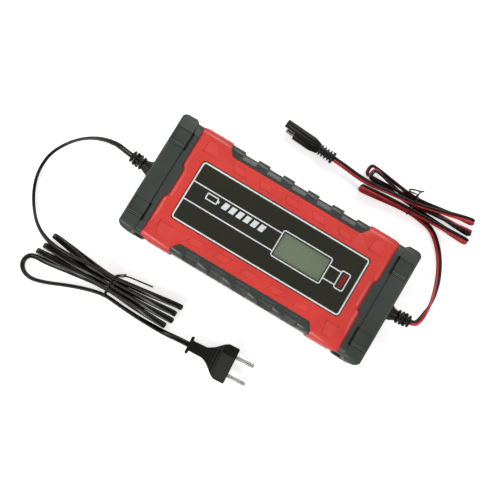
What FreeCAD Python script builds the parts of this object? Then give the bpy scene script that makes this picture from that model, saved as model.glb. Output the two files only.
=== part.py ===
import FreeCAD, Part

import math
import os

import Sketcher
from FreeCAD import Placement, Rotation, Vector

# A battery charger for cars that lies on a bench: a long red case with rubber boots on both
# ends and rubber grips on both sides, a display and one push button on its front, a mains lead
# with a flat plug, and an output lead with a two pole quick connector.
# Millimetres. X runs along the case from the mains end to the output end, Y across it, Z up.
# The origin is on the bench, under the middle of the case.

SIZES = {
    # end boots
    "case_length": 252.0,
    "boot_width": 120.0,
    "boot_height": 48.0,
    "boot_length": 23.0,
    "boot_wall": 4.3,
    "boot_corner": 6.5,
    "boot_collar": 6.6,
    "collar_width": 114.0,
    "collar_height": 46.9,
    "collar_skirt": 17.0,
    "boot_tab_width": 26.0,
    "boot_tab_depth": 3.0,
    "boot_tab_slant": 3.5,
    "boot_shoulder": 46.0,
    "boot_shoulder_drop": 2.2,
    "boot_round": 7.0,
    "boot_end_round": 2.6,
    "finger_rest_near": 28.5,
    "finger_rest_far": 45.5,
    "finger_rest_depth": 1.1,
    "finger_rib": 0.6,
    "boot_slot_width": 2.4,
    "boot_slot_depth": 2.2,
    # case shells
    "face_height": 46.0,
    "case_foot": 1.5,
    "parting_height": 24.0,
    "shell_width": 117.2,
    "shell_wall": 2.6,
    "shell_round": 7.0,
    "shell_flat_width": 63.0,
    "shell_fall": 1.5,
    "rim_drop": 1.3,
    "rim_run": 4.0,
    "waist_step": 1.6,
    "waist_run": 5.5,
    "neck_step": 2.4,
    "fit_gap": 0.2,
    # side grips
    "grip_length": 146.0,
    "grip_depth": 12.6,
    "grip_slant_run": 5.5,
    "grip_slant_depth": 5.4,
    "grip_set_back": 1.5,
    "grip_proud": 0.3,
    "grip_recess_width": 14.2,
    "grip_recess_depth": 4.4,
    "grip_pitch": 26.2,
    "grip_recess_foot": 28.0,
    "grip_recess_slant": 7.0,
    "grip_step_reach": 8.2,
    "grip_step_drop": 2.3,
    "tongue_thickness": 4.0,
    "tongue_depth": 1.4,
    "tongue_length": 120.0,
    # front panel
    "panel_length": 176.5,
    "panel_width": 60.5,
    "panel_thickness": 0.5,
    "panel_corner": 3.2,
    "window_middle": 32.4,
    "window_length": 49.2,
    "window_width": 24.4,
    "window_thickness": 1.8,
    "window_ledge": 2.0,
    "window_corner": 1.6,
    "key_middle": 74.8,
    "key_length": 7.2,
    "key_width": 15.4,
    "key_corner": 1.2,
    "key_gap": 0.3,
    "key_rise": 0.5,
    "key_travel": 0.5,
    "key_flange": 0.9,
    "key_flange_thickness": 1.2,
    # pressed tiles in the red face
    "tile_pitch": 27.8,
    "tile_length": 13.2,
    "tile_lean": 4.2,
    "tile_inner": 34.4,
    "tile_outer": 41.6,
    "tile_floor": 44.95,
    "shield_middle": 87.2,
    "shield_length": 14.0,
    "shield_inner": 36.5,
    "shield_outer": 50.0,
    "shield_waist": 46.5,
    "shield_floor": 44.55,
    # screws and bosses
    "case_screw_x": 90.0,
    "case_screw_inset": 12.2,
    "case_screw_size": 3.0,
    "screw_head_width": 5.6,
    "screw_head_height": 2.4,
    "head_recess_depth": 5.2,
    "boss_width": 8.0,
    "screw_gap": 0.15,
    "case_screw_reach": 14.0,
    # circuit board
    "board_length": 182.0,
    "board_gap": 2.4,
    "board_rim": 1.0,
    "board_thickness": 1.6,
    "board_height": 10.0,
    "board_screw_x": 84.0,
    "board_screw_inset": 5.0,
    "heatsink_inset": 7.0,
    "heatsink_length": 44.0,
    "board_screw_size": 2.5,
    "standoff_width": 6.5,
    # display board
    "display_board_length": 86.0,
    "display_board_width": 38.0,
    "display_board_start": -2.0,
    "display_board_drop": 5.2,
    "display_depth": 4.9,
    "display_glass_thickness": 1.9,
    "display_screw_size": 2.0,
    "display_screw_inset": 3.4,
    "switch_size": 6.0,
    "switch_height": 2.9,
    "plunger_width": 3.4,
    # strain reliefs
    "relief_height": 24.5,
    "relief_length": 24.5,
    "relief_bend": 4.5,
    "relief_lean": 6.0,
    "relief_flare": 16.6,
    "relief_neck": 9.8,
    "relief_flange": 13.2,
    "relief_ring": 1.5,
    "relief_ring_pitch": 3.6,
    "relief_groove": 6.6,
    "relief_collar": 17.0,
    "relief_collar_thickness": 2.0,
    # cords
    "cord_width": 5.6,
    "cord_thickness": 3.4,
    "cord_tube": 4.2,
    "tie_wire": 1.2,
    "core_width": 1.9,
    # mains plug
    "plug_angle": 3.8,
    "plug_x": -15.2,
    "plug_y": -121.2,
    "plug_thickness": 13.7,
    "plug_width": 35.3,
    "plug_flange_width": 17.0,
    "plug_flange_thickness": 2.5,
    "plug_neck_width": 10.0,
    "plug_neck_length": 15.0,
    "plug_block_length": 14.5,
    "plug_body_length": 45.5,
    "plug_slim": 2.3,
    "plug_groove_pitch": 3.1,
    "plug_groove_depth": 0.7,
    "pin_spacing": 18.6,
    "pin_width": 4.0,
    "pin_length": 19.0,
    "pin_sleeve_length": 10.0,
    "pin_sleeve_width": 3.4,
    "pin_sleeve_wall": 0.6,
    "pin_seat": 8.0,
    # output connector
    "connector_angle": 176.2,
    "connector_roll": 55.0,
    "connector_x": 12.5,
    "connector_y": 101.4,
    "connector_lift": 0.1,
    "barrel_width": 8.2,
    "barrel_taper": 1.6,
    "long_barrel_length": 38.5,
    "short_barrel_length": 26.8,
    "barrel_spacing": 7.9,
    "contact_width": 4.0,
    "contact_length": 9.0,
    "contact_seat": 5.0,
    "contact_seat_step": 0.5,
    "contact_wall": 0.5,
    "contact_gap": 0.3,
    "socket_length": 12.0,
    "socket_set_back": 1.5,
    "connector_relief_length": 17.5,
    "connector_rib_width": 10.8,
    "connector_rib_thickness": 1.6,
    "connector_flange_width": 11.8,
    "connector_flange_thickness": 2.8,
    "connector_core_width": 7.2,
    "connector_rib_pitch": 3.3,
}

PARTS_FOLDER = "parts"
SIDES = (("near", -1), ("far", 1))
ENDS = (("mains", -1), ("output", 1))

doc = FreeCAD.newDocument("battery_charger")


class Size:
    """A number that keeps the spreadsheet expression it was worked out from."""

    def __init__(self, value, text):
        self.value = float(value)
        self.text = text

    def __float__(self):
        return self.value

    def __add__(self, other):
        other = as_size(other)
        return Size(self.value + other.value, "(%s + %s)" % (self.text, other.text))

    def __sub__(self, other):
        other = as_size(other)
        return Size(self.value - other.value, "(%s - %s)" % (self.text, other.text))

    def __mul__(self, other):
        other = as_size(other)
        return Size(self.value * other.value, "(%s * %s)" % (self.text, other.text))

    def __truediv__(self, other):
        other = as_size(other)
        return Size(self.value / other.value, "(%s / %s)" % (self.text, other.text))

    def __neg__(self):
        return Size(-self.value, "(0 - %s)" % self.text)

    def __radd__(self, other):
        return as_size(other) + self

    def __rsub__(self, other):
        return as_size(other) - self

    def __rmul__(self, other):
        return as_size(other) * self


def as_size(number):
    if isinstance(number, Size):
        return number
    return Size(number, repr(float(number)))


def cosine_of(angle):
    return Size(math.cos(math.radians(float(angle))), "cos(%s * 1 deg)" % angle.text)


def sine_of(angle):
    return Size(math.sin(math.radians(float(angle))), "sin(%s * 1 deg)" % angle.text)


class Sheet:
    """Named sizes, read back from the spreadsheet that holds them."""

    def __init__(self, sizes):
        self.table = doc.addObject("Spreadsheet::Sheet", "sizes")
        for row, (name, value) in enumerate(sizes.items(), start=1):
            self.table.set("A%d" % row, name)
            self.table.set("B%d" % row, str(value))
            self.table.setAlias("B%d" % row, name)
        doc.recompute()

    def __getattr__(self, name):
        return Size(self.table.get(name), "sizes." + name)


S = Sheet(SIZES)


# Drawing helpers

def bind(thing, **sizes):
    """Tie properties of an object to the sheet. A double underscore stands for a dot."""
    for name, size in sizes.items():
        thing.setExpression(name.replace("__", "."), as_size(size).text)


def unit(vector):
    return vector * (1.0 / vector.Length)


def corner_arc(before, corner, after, radius):
    """The arc that rounds a corner: its two ends, and whether it turns to the left."""
    back, ahead = unit(before - corner), unit(after - corner)
    half = 0.5 * back.getAngle(ahead)
    reach = radius / math.tan(half)
    start, end = corner + back * reach, corner + ahead * reach
    centre = corner + unit(back + ahead) * (radius / math.sin(half))
    return start, end, centre, back.cross(ahead).z < 0


def draw_outline(sketch, corners):
    """A closed outline of lines. A corner is (x, y), or (x, y, radius) where it is rounded."""
    points = [Vector(float(corner[0]), float(corner[1]), 0) for corner in corners]
    count = len(points)
    starts, ends, arcs = list(points), list(points), {}
    for index, corner in enumerate(corners):
        if len(corner) == 3:
            arc = corner_arc(points[index - 1], points[index], points[(index + 1) % count],
                             float(corner[2]))
            ends[index], starts[index] = arc[0], arc[1]
            arcs[index] = arc
    lines = [sketch.addGeometry(Part.LineSegment(starts[i], ends[(i + 1) % count]), False)
             for i in range(count)]
    for index, corner in enumerate(corners):
        arriving, leaving = lines[index - 1], lines[index]
        if index in arcs:
            held = round_corner(sketch, arcs[index], points[index], arriving, leaving, corner[2])
        else:
            sketch.addConstraint(Sketcher.Constraint("Coincident", arriving, 2, leaving, 1))
            held = leaving
        for direction, size in (("DistanceX", corner[0]), ("DistanceY", corner[1])):
            row = sketch.addConstraint(
                Sketcher.Constraint(direction, -1, 1, held, 1, float(size)))
            sketch.setExpression("Constraints[%d]" % row, as_size(size).text)


def round_corner(sketch, arc, corner, arriving, leaving, radius):
    start, end, centre, left = arc
    first, last = (start, end) if left else (end, start)
    angles = [math.atan2(p.y - centre.y, p.x - centre.x) for p in (first, last)]
    circle = Part.Circle(centre, Vector(0, 0, 1), float(radius))
    edge = sketch.addGeometry(Part.ArcOfCircle(circle, angles[0], angles[1]), False)
    arriving_end, leaving_end = (1, 2) if left else (2, 1)
    sketch.addConstraint(Sketcher.Constraint("Tangent", arriving, 2, edge, arriving_end))
    sketch.addConstraint(Sketcher.Constraint("Tangent", edge, leaving_end, leaving, 1))
    row = sketch.addConstraint(Sketcher.Constraint("Radius", edge, float(radius)))
    sketch.setExpression("Constraints[%d]" % row, as_size(radius).text)
    point = sketch.addGeometry(Part.Point(corner), True)
    sketch.addConstraint(Sketcher.Constraint("PointOnObject", point, 1, arriving))
    sketch.addConstraint(Sketcher.Constraint("PointOnObject", point, 1, leaving))
    return point


def draw_circle(sketch, x, y, width):
    circle = Part.Circle(Vector(float(x), float(y), 0), Vector(0, 0, 1), float(width) / 2)
    edge = sketch.addGeometry(circle, False)
    for direction, size in (("DistanceX", x), ("DistanceY", y)):
        row = sketch.addConstraint(Sketcher.Constraint(direction, -1, 1, edge, 3, float(size)))
        sketch.setExpression("Constraints[%d]" % row, as_size(size).text)
    row = sketch.addConstraint(Sketcher.Constraint("Diameter", edge, float(width)))
    sketch.setExpression("Constraints[%d]" % row, as_size(width).text)


PLANES = {
    "plan": (Rotation(), "Placement__Base__z"),
    "section": (Rotation(Vector(1, 1, 1), 120), "Placement__Base__x"),
    "side": (Rotation(Vector(1, 0, 0), 90), "Placement__Base__y"),
}


def sketch_on(plane, name, corners, place):
    """A sketch seen from above, along the case, or from its side, set at one distance."""
    turn, where = PLANES[plane]
    sketch = doc.addObject("Sketcher::SketchObject", name + "_sketch")
    sketch.Placement = Placement(Vector(), turn)
    bind(sketch, **{where: place})
    draw_outline(sketch, corners)
    return sketch


def solid_from(plane, name, corners, start, end):
    """A straight solid between two distances: heights for a plan, places along X or Y else."""
    base = end if plane == "side" else start
    solid = doc.addObject("Part::Extrusion", name)
    solid.Base = sketch_on(plane, name, corners, base)
    solid.DirMode = "Normal"
    solid.Solid = True
    bind(solid, LengthFwd=as_size(end) - as_size(start))
    return solid


def box(name, x, y, z, length, width, height):
    """A block set by its lowest corner."""
    block = doc.addObject("Part::Box", name)
    bind(block, Length=length, Width=width, Height=height,
         Placement__Base__x=x, Placement__Base__y=y, Placement__Base__z=z)
    return block


def centred_box(name, x, y, z, length, width, height):
    return box(name, as_size(x) - as_size(length) / 2, as_size(y) - as_size(width) / 2, z,
               length, width, height)


def rod(name, x, y, z, width, height, axis=Vector(0, 0, 1)):
    """A round rod that starts at a point and runs up, or along another axis."""
    cylinder = doc.addObject("Part::Cylinder", name)
    cylinder.Placement = Placement(Vector(), Rotation(Vector(0, 0, 1), axis))
    bind(cylinder, Radius=as_size(width) / 2, Height=height,
         Placement__Base__x=x, Placement__Base__y=y, Placement__Base__z=z)
    return cylinder


def fuse(name, *pieces):
    joined = doc.addObject("Part::MultiFuse", name)
    joined.Shapes = list(pieces)
    joined.Refine = True
    return joined


def common(name, *pieces):
    shared = doc.addObject("Part::MultiCommon", name)
    shared.Shapes = list(pieces)
    return shared


def cut(name, base, *tools):
    result = doc.addObject("Part::Cut", name)
    result.Base = base
    result.Tool = tools[0] if len(tools) == 1 else fuse(name + "_tools", *tools)
    result.Refine = True
    return result


def group(name, *pieces):
    """Separate solids of one kind, kept in one node."""
    compound = doc.addObject("Part::Compound", name)
    compound.Links = list(pieces)
    return compound


def rounded(name, base, radius, choose):
    """The base with the edges that choose() picks rounded."""
    doc.recompute()
    edges = [(number, float(radius), float(radius))
             for number, edge in enumerate(base.Shape.Edges, start=1) if choose(edge)]
    fillet = doc.addObject("Part::Fillet", name)
    fillet.Base = base
    fillet.Edges = edges
    return fillet


def mirrored_outline(quarter):
    """A closed outline from its corners in the first quarter, from the X axis to the Y axis."""
    flip = lambda c, sx, sy: (c[0] * sx, c[1] * sy) + tuple(c[2:])
    right_far = [flip(c, 1, 1) for c in quarter]
    left_far = [flip(c, -1, 1) for c in reversed(quarter)]
    left_near = [flip(c, -1, -1) for c in quarter]
    right_near = [flip(c, 1, -1) for c in reversed(quarter)]
    return right_far + left_far + left_near + right_near


def block_outline(length, width, corner=None, x=0.0, y=0.0):
    """A rectangle about a point, with its corners rounded where a radius is given."""
    extra = () if corner is None else (corner,)
    half_length, half_width = as_size(length) / 2, as_size(width) / 2
    return [(x + sx * half_length, y + sy * half_width) + extra
            for sx, sy in ((-1, -1), (1, -1), (1, 1), (-1, 1))]


# PartDesign helpers

def new_body(name):
    return doc.addObject("PartDesign::Body", name)


def plane_of(body, role):
    for feature in body.Origin.OriginFeatures:
        if feature.Role == role:
            return feature
    raise RuntimeError("no plane " + role)


def body_sketch(body, name, role, offset=None):
    sketch = body.newObject("Sketcher::SketchObject", name)
    sketch.AttachmentSupport = (plane_of(body, role), [""])
    sketch.MapMode = "FlatFace"
    if offset is not None:
        bind(sketch, AttachmentOffset__Base__z=offset)
    return sketch


def pad(body, name, corners, height, offset=None, role="XY_Plane"):
    sketch = body_sketch(body, name + "_sketch", role, offset)
    draw_outline(sketch, corners)
    feature = body.newObject("PartDesign::Pad", name)
    feature.Profile = sketch
    bind(feature, Length=height)
    return feature


def pocket(body, name, corners, depth, offset=None, role="XY_Plane"):
    """A recess that goes down from its sketch."""
    sketch = body_sketch(body, name + "_sketch", role, offset)
    draw_outline(sketch, corners)
    feature = body.newObject("PartDesign::Pocket", name)
    feature.Profile = sketch
    bind(feature, Length=depth)
    return feature


def round_pocket(body, name, places, width, depth, offset):
    """Round holes of one size, down from one level."""
    sketch = body_sketch(body, name + "_sketch", "XY_Plane", offset)
    for x, y in places:
        draw_circle(sketch, x, y, width)
    feature = body.newObject("PartDesign::Pocket", name)
    feature.Profile = sketch
    bind(feature, Length=depth)
    return feature


def turned_body(name, profile, kind="PartDesign::Revolution"):
    """A body of revolution about its own X axis, from (x, radius) corners."""
    body = new_body(name)
    sketch = body_sketch(body, name + "_profile", "XZ_Plane")
    draw_outline(sketch, profile)
    feature = body.newObject(kind, name + "_turn")
    feature.Profile = sketch
    feature.ReferenceAxis = (sketch, ["H_Axis"])
    feature.Angle = 360
    return body


def place(thing, x, y, z, turn=None):
    if turn is not None:
        thing.Placement = Placement(Vector(), turn)
    bind(thing, Placement__Base__x=x, Placement__Base__y=y, Placement__Base__z=z)
    return thing


# Levels and faces that several pieces share

half_case = S.case_length / 2
half_boot = S.boot_width / 2
half_shell = S.shell_width / 2
mouth = half_case - S.boot_length
collar_start = mouth + S.boot_collar
half_collar = S.collar_width / 2
half_tab = S.boot_tab_width / 2
tab_shoulder = half_tab + S.boot_tab_slant
tab_reach = mouth - S.boot_tab_depth
neck_reach = half_case - S.boot_wall - S.fit_gap
half_neck = half_collar - S.neck_step
neck_top = S.face_height - S.neck_step
neck_foot = S.case_foot + S.neck_step
recess_length = S.grip_length / 2
recess_wall = half_shell - S.grip_depth
slant_start = recess_wall + S.grip_slant_depth + S.grip_set_back
inner_ceiling = neck_top - S.shell_wall
inner_floor = neck_foot + S.shell_wall
deep_ceiling = S.face_height - S.panel_thickness - S.shell_wall
deep_floor = S.case_foot + S.shell_wall
screw_places = [(sx * S.case_screw_x, sy * (half_shell - S.case_screw_inset))
                for sx in (-1, 1) for sy in (-1, 1)]
board_top = S.board_height + S.board_thickness
half_board = recess_wall - S.shell_wall - S.board_gap
board_screw_places = [(sx * S.board_screw_x, sy * (half_board - S.board_screw_inset))
                      for sx in (-1, 1) for sy in (-1, 1)]
heatsink_line = half_board - S.heatsink_inset
display_board_top = deep_ceiling - S.display_board_drop
display_board_foot = display_board_top - S.board_thickness
display_board_end = S.display_board_start + S.display_board_length
display_screw_places = [
    (x, side * (S.display_board_width / 2 - S.display_screw_inset))
    for x in (S.display_board_start + S.display_screw_inset,
              display_board_end - S.display_screw_inset)
    for side in (-1, 1)]
connector_height = (S.barrel_width / 2 + S.connector_lift
                    + S.barrel_spacing / 2 * sine_of(S.connector_roll))


# Case shells

def shell_quarter(end_inset):
    """The case seen from above, first quarter. The end faces step back by the inset."""
    return [
        (tab_reach - end_inset, half_tab),
        (mouth - end_inset, tab_shoulder),
        (mouth - end_inset, half_shell - S.waist_step),
        (mouth - S.waist_run - end_inset, half_shell),
        (recess_length, half_shell, 1.2),
        (recess_length, slant_start, 2.0),
        (recess_length - S.grip_slant_run, recess_wall, 2.0),
    ]


def shell_section():
    """The case seen along X: a nearly flat top that falls a little to rounded sides."""
    shoulder = S.face_height - S.shell_fall
    flat = S.shell_flat_width / 2
    return [
        (-half_shell, S.case_foot, 4.0), (half_shell, S.case_foot, 4.0),
        (half_shell, shoulder, S.shell_round), (flat, S.face_height),
        (-flat, S.face_height), (-half_shell, shoulder, S.shell_round),
    ]


def neck_outline(end):
    """The narrower end of the case that a boot goes over."""
    inner = end * (mouth - S.waist_run)
    outer = end * neck_reach
    outline = [(inner, -half_neck), (outer, -half_neck, 4.0), (outer, half_neck, 4.0),
               (inner, half_neck)]
    return outline if end > 0 else list(reversed(outline))


def cavity_quarter(reach):
    side = recess_wall - S.shell_wall
    shoulder = half_neck - S.shell_wall
    return [(reach, shoulder), (recess_length + S.shell_wall + 1.0, shoulder),
            (recess_length - S.grip_slant_run + 1.0, side)]


def tongue_groove(name, start, end):
    """Room in the recess wall for the grip's tongue, on both sides."""
    return [box("%s_%s" % (name, side), -(S.tongue_length / 2) - S.fit_gap,
                recess_wall - S.tongue_depth - S.fit_gap if sign > 0 else -recess_wall - S.fit_gap,
                start, S.tongue_length + 2 * S.fit_gap, S.tongue_depth + 2 * S.fit_gap,
                as_size(end) - start)
            for side, sign in SIDES]


def tile_outlines():
    """Five slanting tiles along each long side, leaning the same way on both."""
    outlines = []
    for side, sign in SIDES:
        for number in range(-2, 3):
            middle = number * S.tile_pitch
            half = S.tile_length / 2
            lean = S.tile_lean / 2
            corners = [
                (middle - half + lean, sign * S.tile_inner),
                (middle + half + lean, sign * S.tile_inner),
                (middle + half - lean, sign * S.tile_outer),
                (middle - half - lean, sign * S.tile_outer),
            ]
            outlines.append(("%s_tile_%d" % (side, number + 3), corners))
    return outlines


def shield_outlines():
    """One shield shaped tile in each corner of the face."""
    outlines = []
    for end_name, end in ENDS:
        for side, sign in SIDES:
            middle = end * S.shield_middle
            half = S.shield_length / 2
            corners = [
                (middle - half, sign * S.shield_inner), (middle + half, sign * S.shield_inner),
                (middle + half - 1.2, sign * S.shield_waist),
                (middle + half - 3.6, sign * S.shield_outer),
                (middle - half + 3.6, sign * S.shield_outer),
                (middle - half + 1.2, sign * S.shield_waist),
            ]
            outlines.append(("%s_%s_shield" % (end_name, side), corners))
    return outlines


def make_top_shell():
    rim = S.face_height - S.rim_drop
    wall = solid_from("plan", "top_wall", mirrored_outline(shell_quarter(0.0)),
                      S.parting_height, rim)
    slope = doc.addObject("Part::Loft", "top_rim")
    slope.Sections = [
        sketch_on("plan", "rim_low", mirrored_outline(shell_quarter(0.0)), rim),
        sketch_on("plan", "rim_high", mirrored_outline(shell_quarter(S.rim_run)), S.face_height),
    ]
    slope.Solid = True
    slope.Ruled = True
    crown = solid_from("section", "top_crown", shell_section(), -half_case, half_case)
    outside = common("top_outside", fuse("top_block", wall, slope), crown)
    necks = [solid_from("plan", "top_neck_%s" % name, neck_outline(end), S.parting_height,
                        neck_top) for name, end in ENDS]
    solid = fuse("top_solid", outside, *necks)
    cavity = solid_from("plan", "top_cavity", mirrored_outline(
        cavity_quarter(neck_reach - S.shell_wall)), S.parting_height - 1, inner_ceiling)
    deep = solid_from("plan", "top_deep_cavity", block_outline(
        S.board_length + 2 * S.board_rim, 2 * half_board - 4 * S.board_rim, 3.0),
        inner_ceiling - 1, deep_ceiling)
    panel_seat = solid_from(
        "plan", "panel_seat",
        block_outline(S.panel_length + 2 * S.fit_gap, S.panel_width + 2 * S.fit_gap,
                      S.panel_corner + S.fit_gap),
        S.face_height - S.panel_thickness, S.face_height + 1)
    window_seat = solid_from(
        "plan", "window_seat",
        block_outline(S.window_length + 2 * S.fit_gap, S.window_width + 2 * S.fit_gap,
                      S.window_corner, S.window_middle),
        S.face_height - S.window_thickness, S.face_height + 1)
    window_hole = solid_from(
        "plan", "window_hole",
        block_outline(S.window_length - 2 * S.window_ledge,
                      S.window_width - 2 * S.window_ledge, S.window_corner, S.window_middle),
        S.parting_height, S.face_height + 1)
    key_hole = solid_from(
        "plan", "key_hole",
        block_outline(S.key_length + 2 * S.key_gap, S.key_width + 2 * S.key_gap,
                      S.key_corner + S.key_gap, S.key_middle),
        S.parting_height, S.face_height + 1)
    tiles = [solid_from("plan", name, corners, S.tile_floor, S.face_height + 1)
             for name, corners in tile_outlines()]
    shields = [solid_from("plan", name, corners, S.shield_floor, S.face_height + 1)
               for name, corners in shield_outlines()]
    grooves = tongue_groove("top_groove", S.parting_height - 1,
                            S.parting_height + S.tongue_thickness / 2 + S.fit_gap)
    entries = [rod("top_entry_%s" % name, end * (mouth + 1), 0, S.relief_height,
                   S.relief_groove + 2 * S.fit_gap, neck_reach - mouth, Vector(end, 0, 0))
               for name, end in ENDS]
    hollow = cut("top_hollow", solid, cavity, deep, panel_seat, window_seat, window_hole,
                 key_hole, *tiles, *shields, *grooves, *entries)
    bosses = [rod("top_boss_%d" % n, x, y, S.parting_height, S.boss_width,
                  inner_ceiling - S.parting_height + 1)
              for n, (x, y) in enumerate(screw_places)]
    posts = [rod("display_post_%d" % n, x, y, display_board_top, 5.0,
                 S.display_board_drop + 1) for n, (x, y) in enumerate(display_screw_places)]
    joined = fuse("top_with_bosses", hollow, *bosses, *posts)
    pilots = [rod("top_pilot_%d" % n, x, y, S.parting_height - 1,
                  S.case_screw_size + 2 * S.screw_gap, S.case_screw_reach + 2)
              for n, (x, y) in enumerate(screw_places)]
    post_pilots = [rod("post_pilot_%d" % n, x, y, display_board_top - 1,
                       S.display_screw_size + 2 * S.screw_gap, S.display_board_drop)
                   for n, (x, y) in enumerate(display_screw_places)]
    return cut("top_shell", joined, *pilots, *post_pilots)


def make_bottom_shell():
    wall = solid_from("plan", "bottom_wall", mirrored_outline(shell_quarter(0.0)),
                      0.0, S.parting_height)
    keel = solid_from("section", "bottom_crown", shell_section(), -half_case, half_case)
    outside = common("bottom_outside", wall, keel)
    necks = [solid_from("plan", "bottom_neck_%s" % name, neck_outline(end), neck_foot,
                        S.parting_height) for name, end in ENDS]
    solid = fuse("bottom_solid", outside, *necks)
    cavity = solid_from("plan", "bottom_cavity", mirrored_outline(
        cavity_quarter(neck_reach - S.shell_wall)), inner_floor, S.parting_height + 1)
    deep = solid_from("plan", "bottom_deep_cavity", block_outline(
        S.board_length + 10 * S.board_rim, 2 * half_board + 2 * S.board_rim, 3.0),
        deep_floor, inner_floor + 1)
    grooves = tongue_groove("bottom_groove",
                            S.parting_height - S.tongue_thickness / 2 - S.fit_gap,
                            S.parting_height + 1)
    entries = [rod("bottom_entry_%s" % name, end * (mouth + 1), 0, S.relief_height,
                   S.relief_groove + 2 * S.fit_gap, neck_reach - mouth, Vector(end, 0, 0))
               for name, end in ENDS]
    hollow = cut("bottom_hollow", solid, cavity, deep, *grooves, *entries)
    bosses = [rod("bottom_boss_%d" % n, x, y, deep_floor - 1, S.boss_width,
                  S.parting_height - deep_floor + 1)
              for n, (x, y) in enumerate(screw_places)]
    standoffs = [rod("standoff_%d" % n, x, y, deep_floor - 1, S.standoff_width,
                     S.board_height - deep_floor + 1)
                 for n, (x, y) in enumerate(board_screw_places)]
    joined = fuse("bottom_with_bosses", hollow, *bosses, *standoffs)
    ways = [rod("case_screw_way_%d" % n, x, y, 0, S.case_screw_size + 2 * S.screw_gap,
                S.parting_height + 1) for n, (x, y) in enumerate(screw_places)]
    head_recesses = [rod("head_recess_%d" % n, x, y, 0, S.screw_head_width + 2 * S.fit_gap,
                         S.case_foot + S.head_recess_depth)
                     for n, (x, y) in enumerate(screw_places)]
    pilots = [rod("board_pilot_%d" % n, x, y, deep_floor + 0.5,
                  S.board_screw_size + 2 * S.screw_gap, S.board_height)
              for n, (x, y) in enumerate(board_screw_places)]
    return cut("bottom_shell", joined, *ways, *head_recesses, *pilots)


# End boots and side grips

def make_boot(name, end):
    """A rubber boot: a thick end band, a lower collar round the case, and a tab on the face."""
    outer, inner = end * half_case, end * collar_start
    low, high = (inner, outer) if end > 0 else (outer, inner)

    def ordered(corners):
        return corners if end > 0 else list(reversed(corners))

    band_plan = solid_from("plan", name + "_band_plan", ordered([
        (inner, -half_boot + 3.2), (inner + end * 3.4, -half_boot, 1.5),
        (outer, -half_boot, S.boot_corner), (outer, half_boot, S.boot_corner),
        (inner + end * 3.4, half_boot, 1.5), (inner, half_boot - 3.2)]),
        0.0, S.boot_height)
    shoulder = S.boot_height - S.boot_shoulder_drop
    band_section = solid_from("section", name + "_band_section", [
        (-half_boot, 0.0, 5.0), (half_boot, 0.0, 5.0), (half_boot, shoulder, S.boot_round),
        (S.boot_shoulder, S.boot_height), (-S.boot_shoulder, S.boot_height),
        (-half_boot, shoulder, S.boot_round)], low, high)
    side_corners = [(inner, 0.0), (outer, 0.0, S.boot_end_round),
                    (outer, S.boot_height, S.boot_end_round), (inner, S.boot_height)]
    band_side = solid_from("side", name + "_band_side", ordered(side_corners),
                           -half_boot, half_boot)
    band = common(name + "_band", band_plan, band_section, band_side)
    collar_low, collar_high = (as_size(mouth), inner) if end > 0 else (inner, -mouth)
    collar_shoulder = S.collar_height - S.boot_shoulder_drop
    collar = solid_from("section", name + "_collar", [
        (-half_collar, 0.8, 4.0), (half_collar, 0.8, 4.0),
        (half_collar, collar_shoulder, S.boot_round - 0.6), (S.boot_shoulder, S.collar_height),
        (-S.boot_shoulder, S.collar_height),
        (-half_collar, collar_shoulder, S.boot_round - 0.6)], collar_low, collar_high)
    skirt = solid_from("plan", name + "_skirt", ordered([
        (end * mouth, -half_boot + 2.0), (end * (mouth + 2), -half_boot + 0.4),
        (inner + end * 4, -half_boot + 0.4), (inner + end * 4, half_boot - 0.4),
        (end * (mouth + 2), half_boot - 0.4), (end * mouth, half_boot - 2.0)]),
        0.8, S.collar_skirt)
    tab = solid_from("plan", name + "_tab", ordered([
        (end * tab_reach, -half_tab), (end * mouth, -tab_shoulder), (end * (mouth + 2), -tab_shoulder),
        (end * (mouth + 2), tab_shoulder), (end * mouth, tab_shoulder),
        (end * tab_reach, half_tab)]), neck_top + S.fit_gap, S.collar_height)
    solid = fuse(name + "_solid", band, collar, skirt, tab)
    room_end = end * (neck_reach + S.fit_gap)
    room = solid_from("plan", name + "_room", ordered([
        (end * (mouth - S.boot_tab_depth - 1), -half_neck - S.fit_gap),
        (room_end, -half_neck - S.fit_gap, 4.0), (room_end, half_neck + S.fit_gap, 4.0),
        (end * (mouth - S.boot_tab_depth - 1), half_neck + S.fit_gap)]),
        neck_foot - S.fit_gap, neck_top + S.fit_gap)
    rests, slots = [], []
    for side, sign in SIDES:
        span = sorted((float(sign * S.finger_rest_near), float(sign * S.finger_rest_far)))
        first, last = ((S.finger_rest_near, S.finger_rest_far) if span[0] > 0 else
                       (-S.finger_rest_far, -S.finger_rest_near))
        rest_near, rest_far = inner - end * 2.2, outer - end * 1.9
        rib = S.finger_rib
        for piece, (low_y, high_y, corner) in enumerate((
                (first, first + 1.5 * rib, ()), (first + 2.5 * rib, first + 4 * rib, ()),
                (first + 5 * rib, last, (1.5,)))):
            rests.append(solid_from("plan", "%s_%s_rest_%d" % (name, side, piece), ordered([
                (rest_near, low_y), (rest_far, low_y), (rest_far, high_y) + corner,
                (rest_near, high_y)]),
                S.boot_height - S.finger_rest_depth, S.boot_height + 1))
        slot_end = inner - end * S.boot_slot_width
        slots.append(solid_from("plan", "%s_%s_slot" % (name, side), ordered([
            (slot_end, first - 0.6), (inner, first - 0.6), (inner, last + 0.8),
            (slot_end, last + 0.8)]),
            S.collar_height - S.boot_slot_depth, S.boot_height + 1))
    groove = box(name + "_groove", inner - end * 0.5 - 0.4, -half_boot, S.collar_height - 0.7,
                 0.8, S.boot_width, 4.0)
    bore = rod(name + "_bore", end * (neck_reach - 1), 0, S.relief_height,
               S.relief_groove + 2 * S.fit_gap, S.boot_length, Vector(end, 0, 0))
    return cut(name, solid, room, groove, bore, *rests, *slots)


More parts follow.
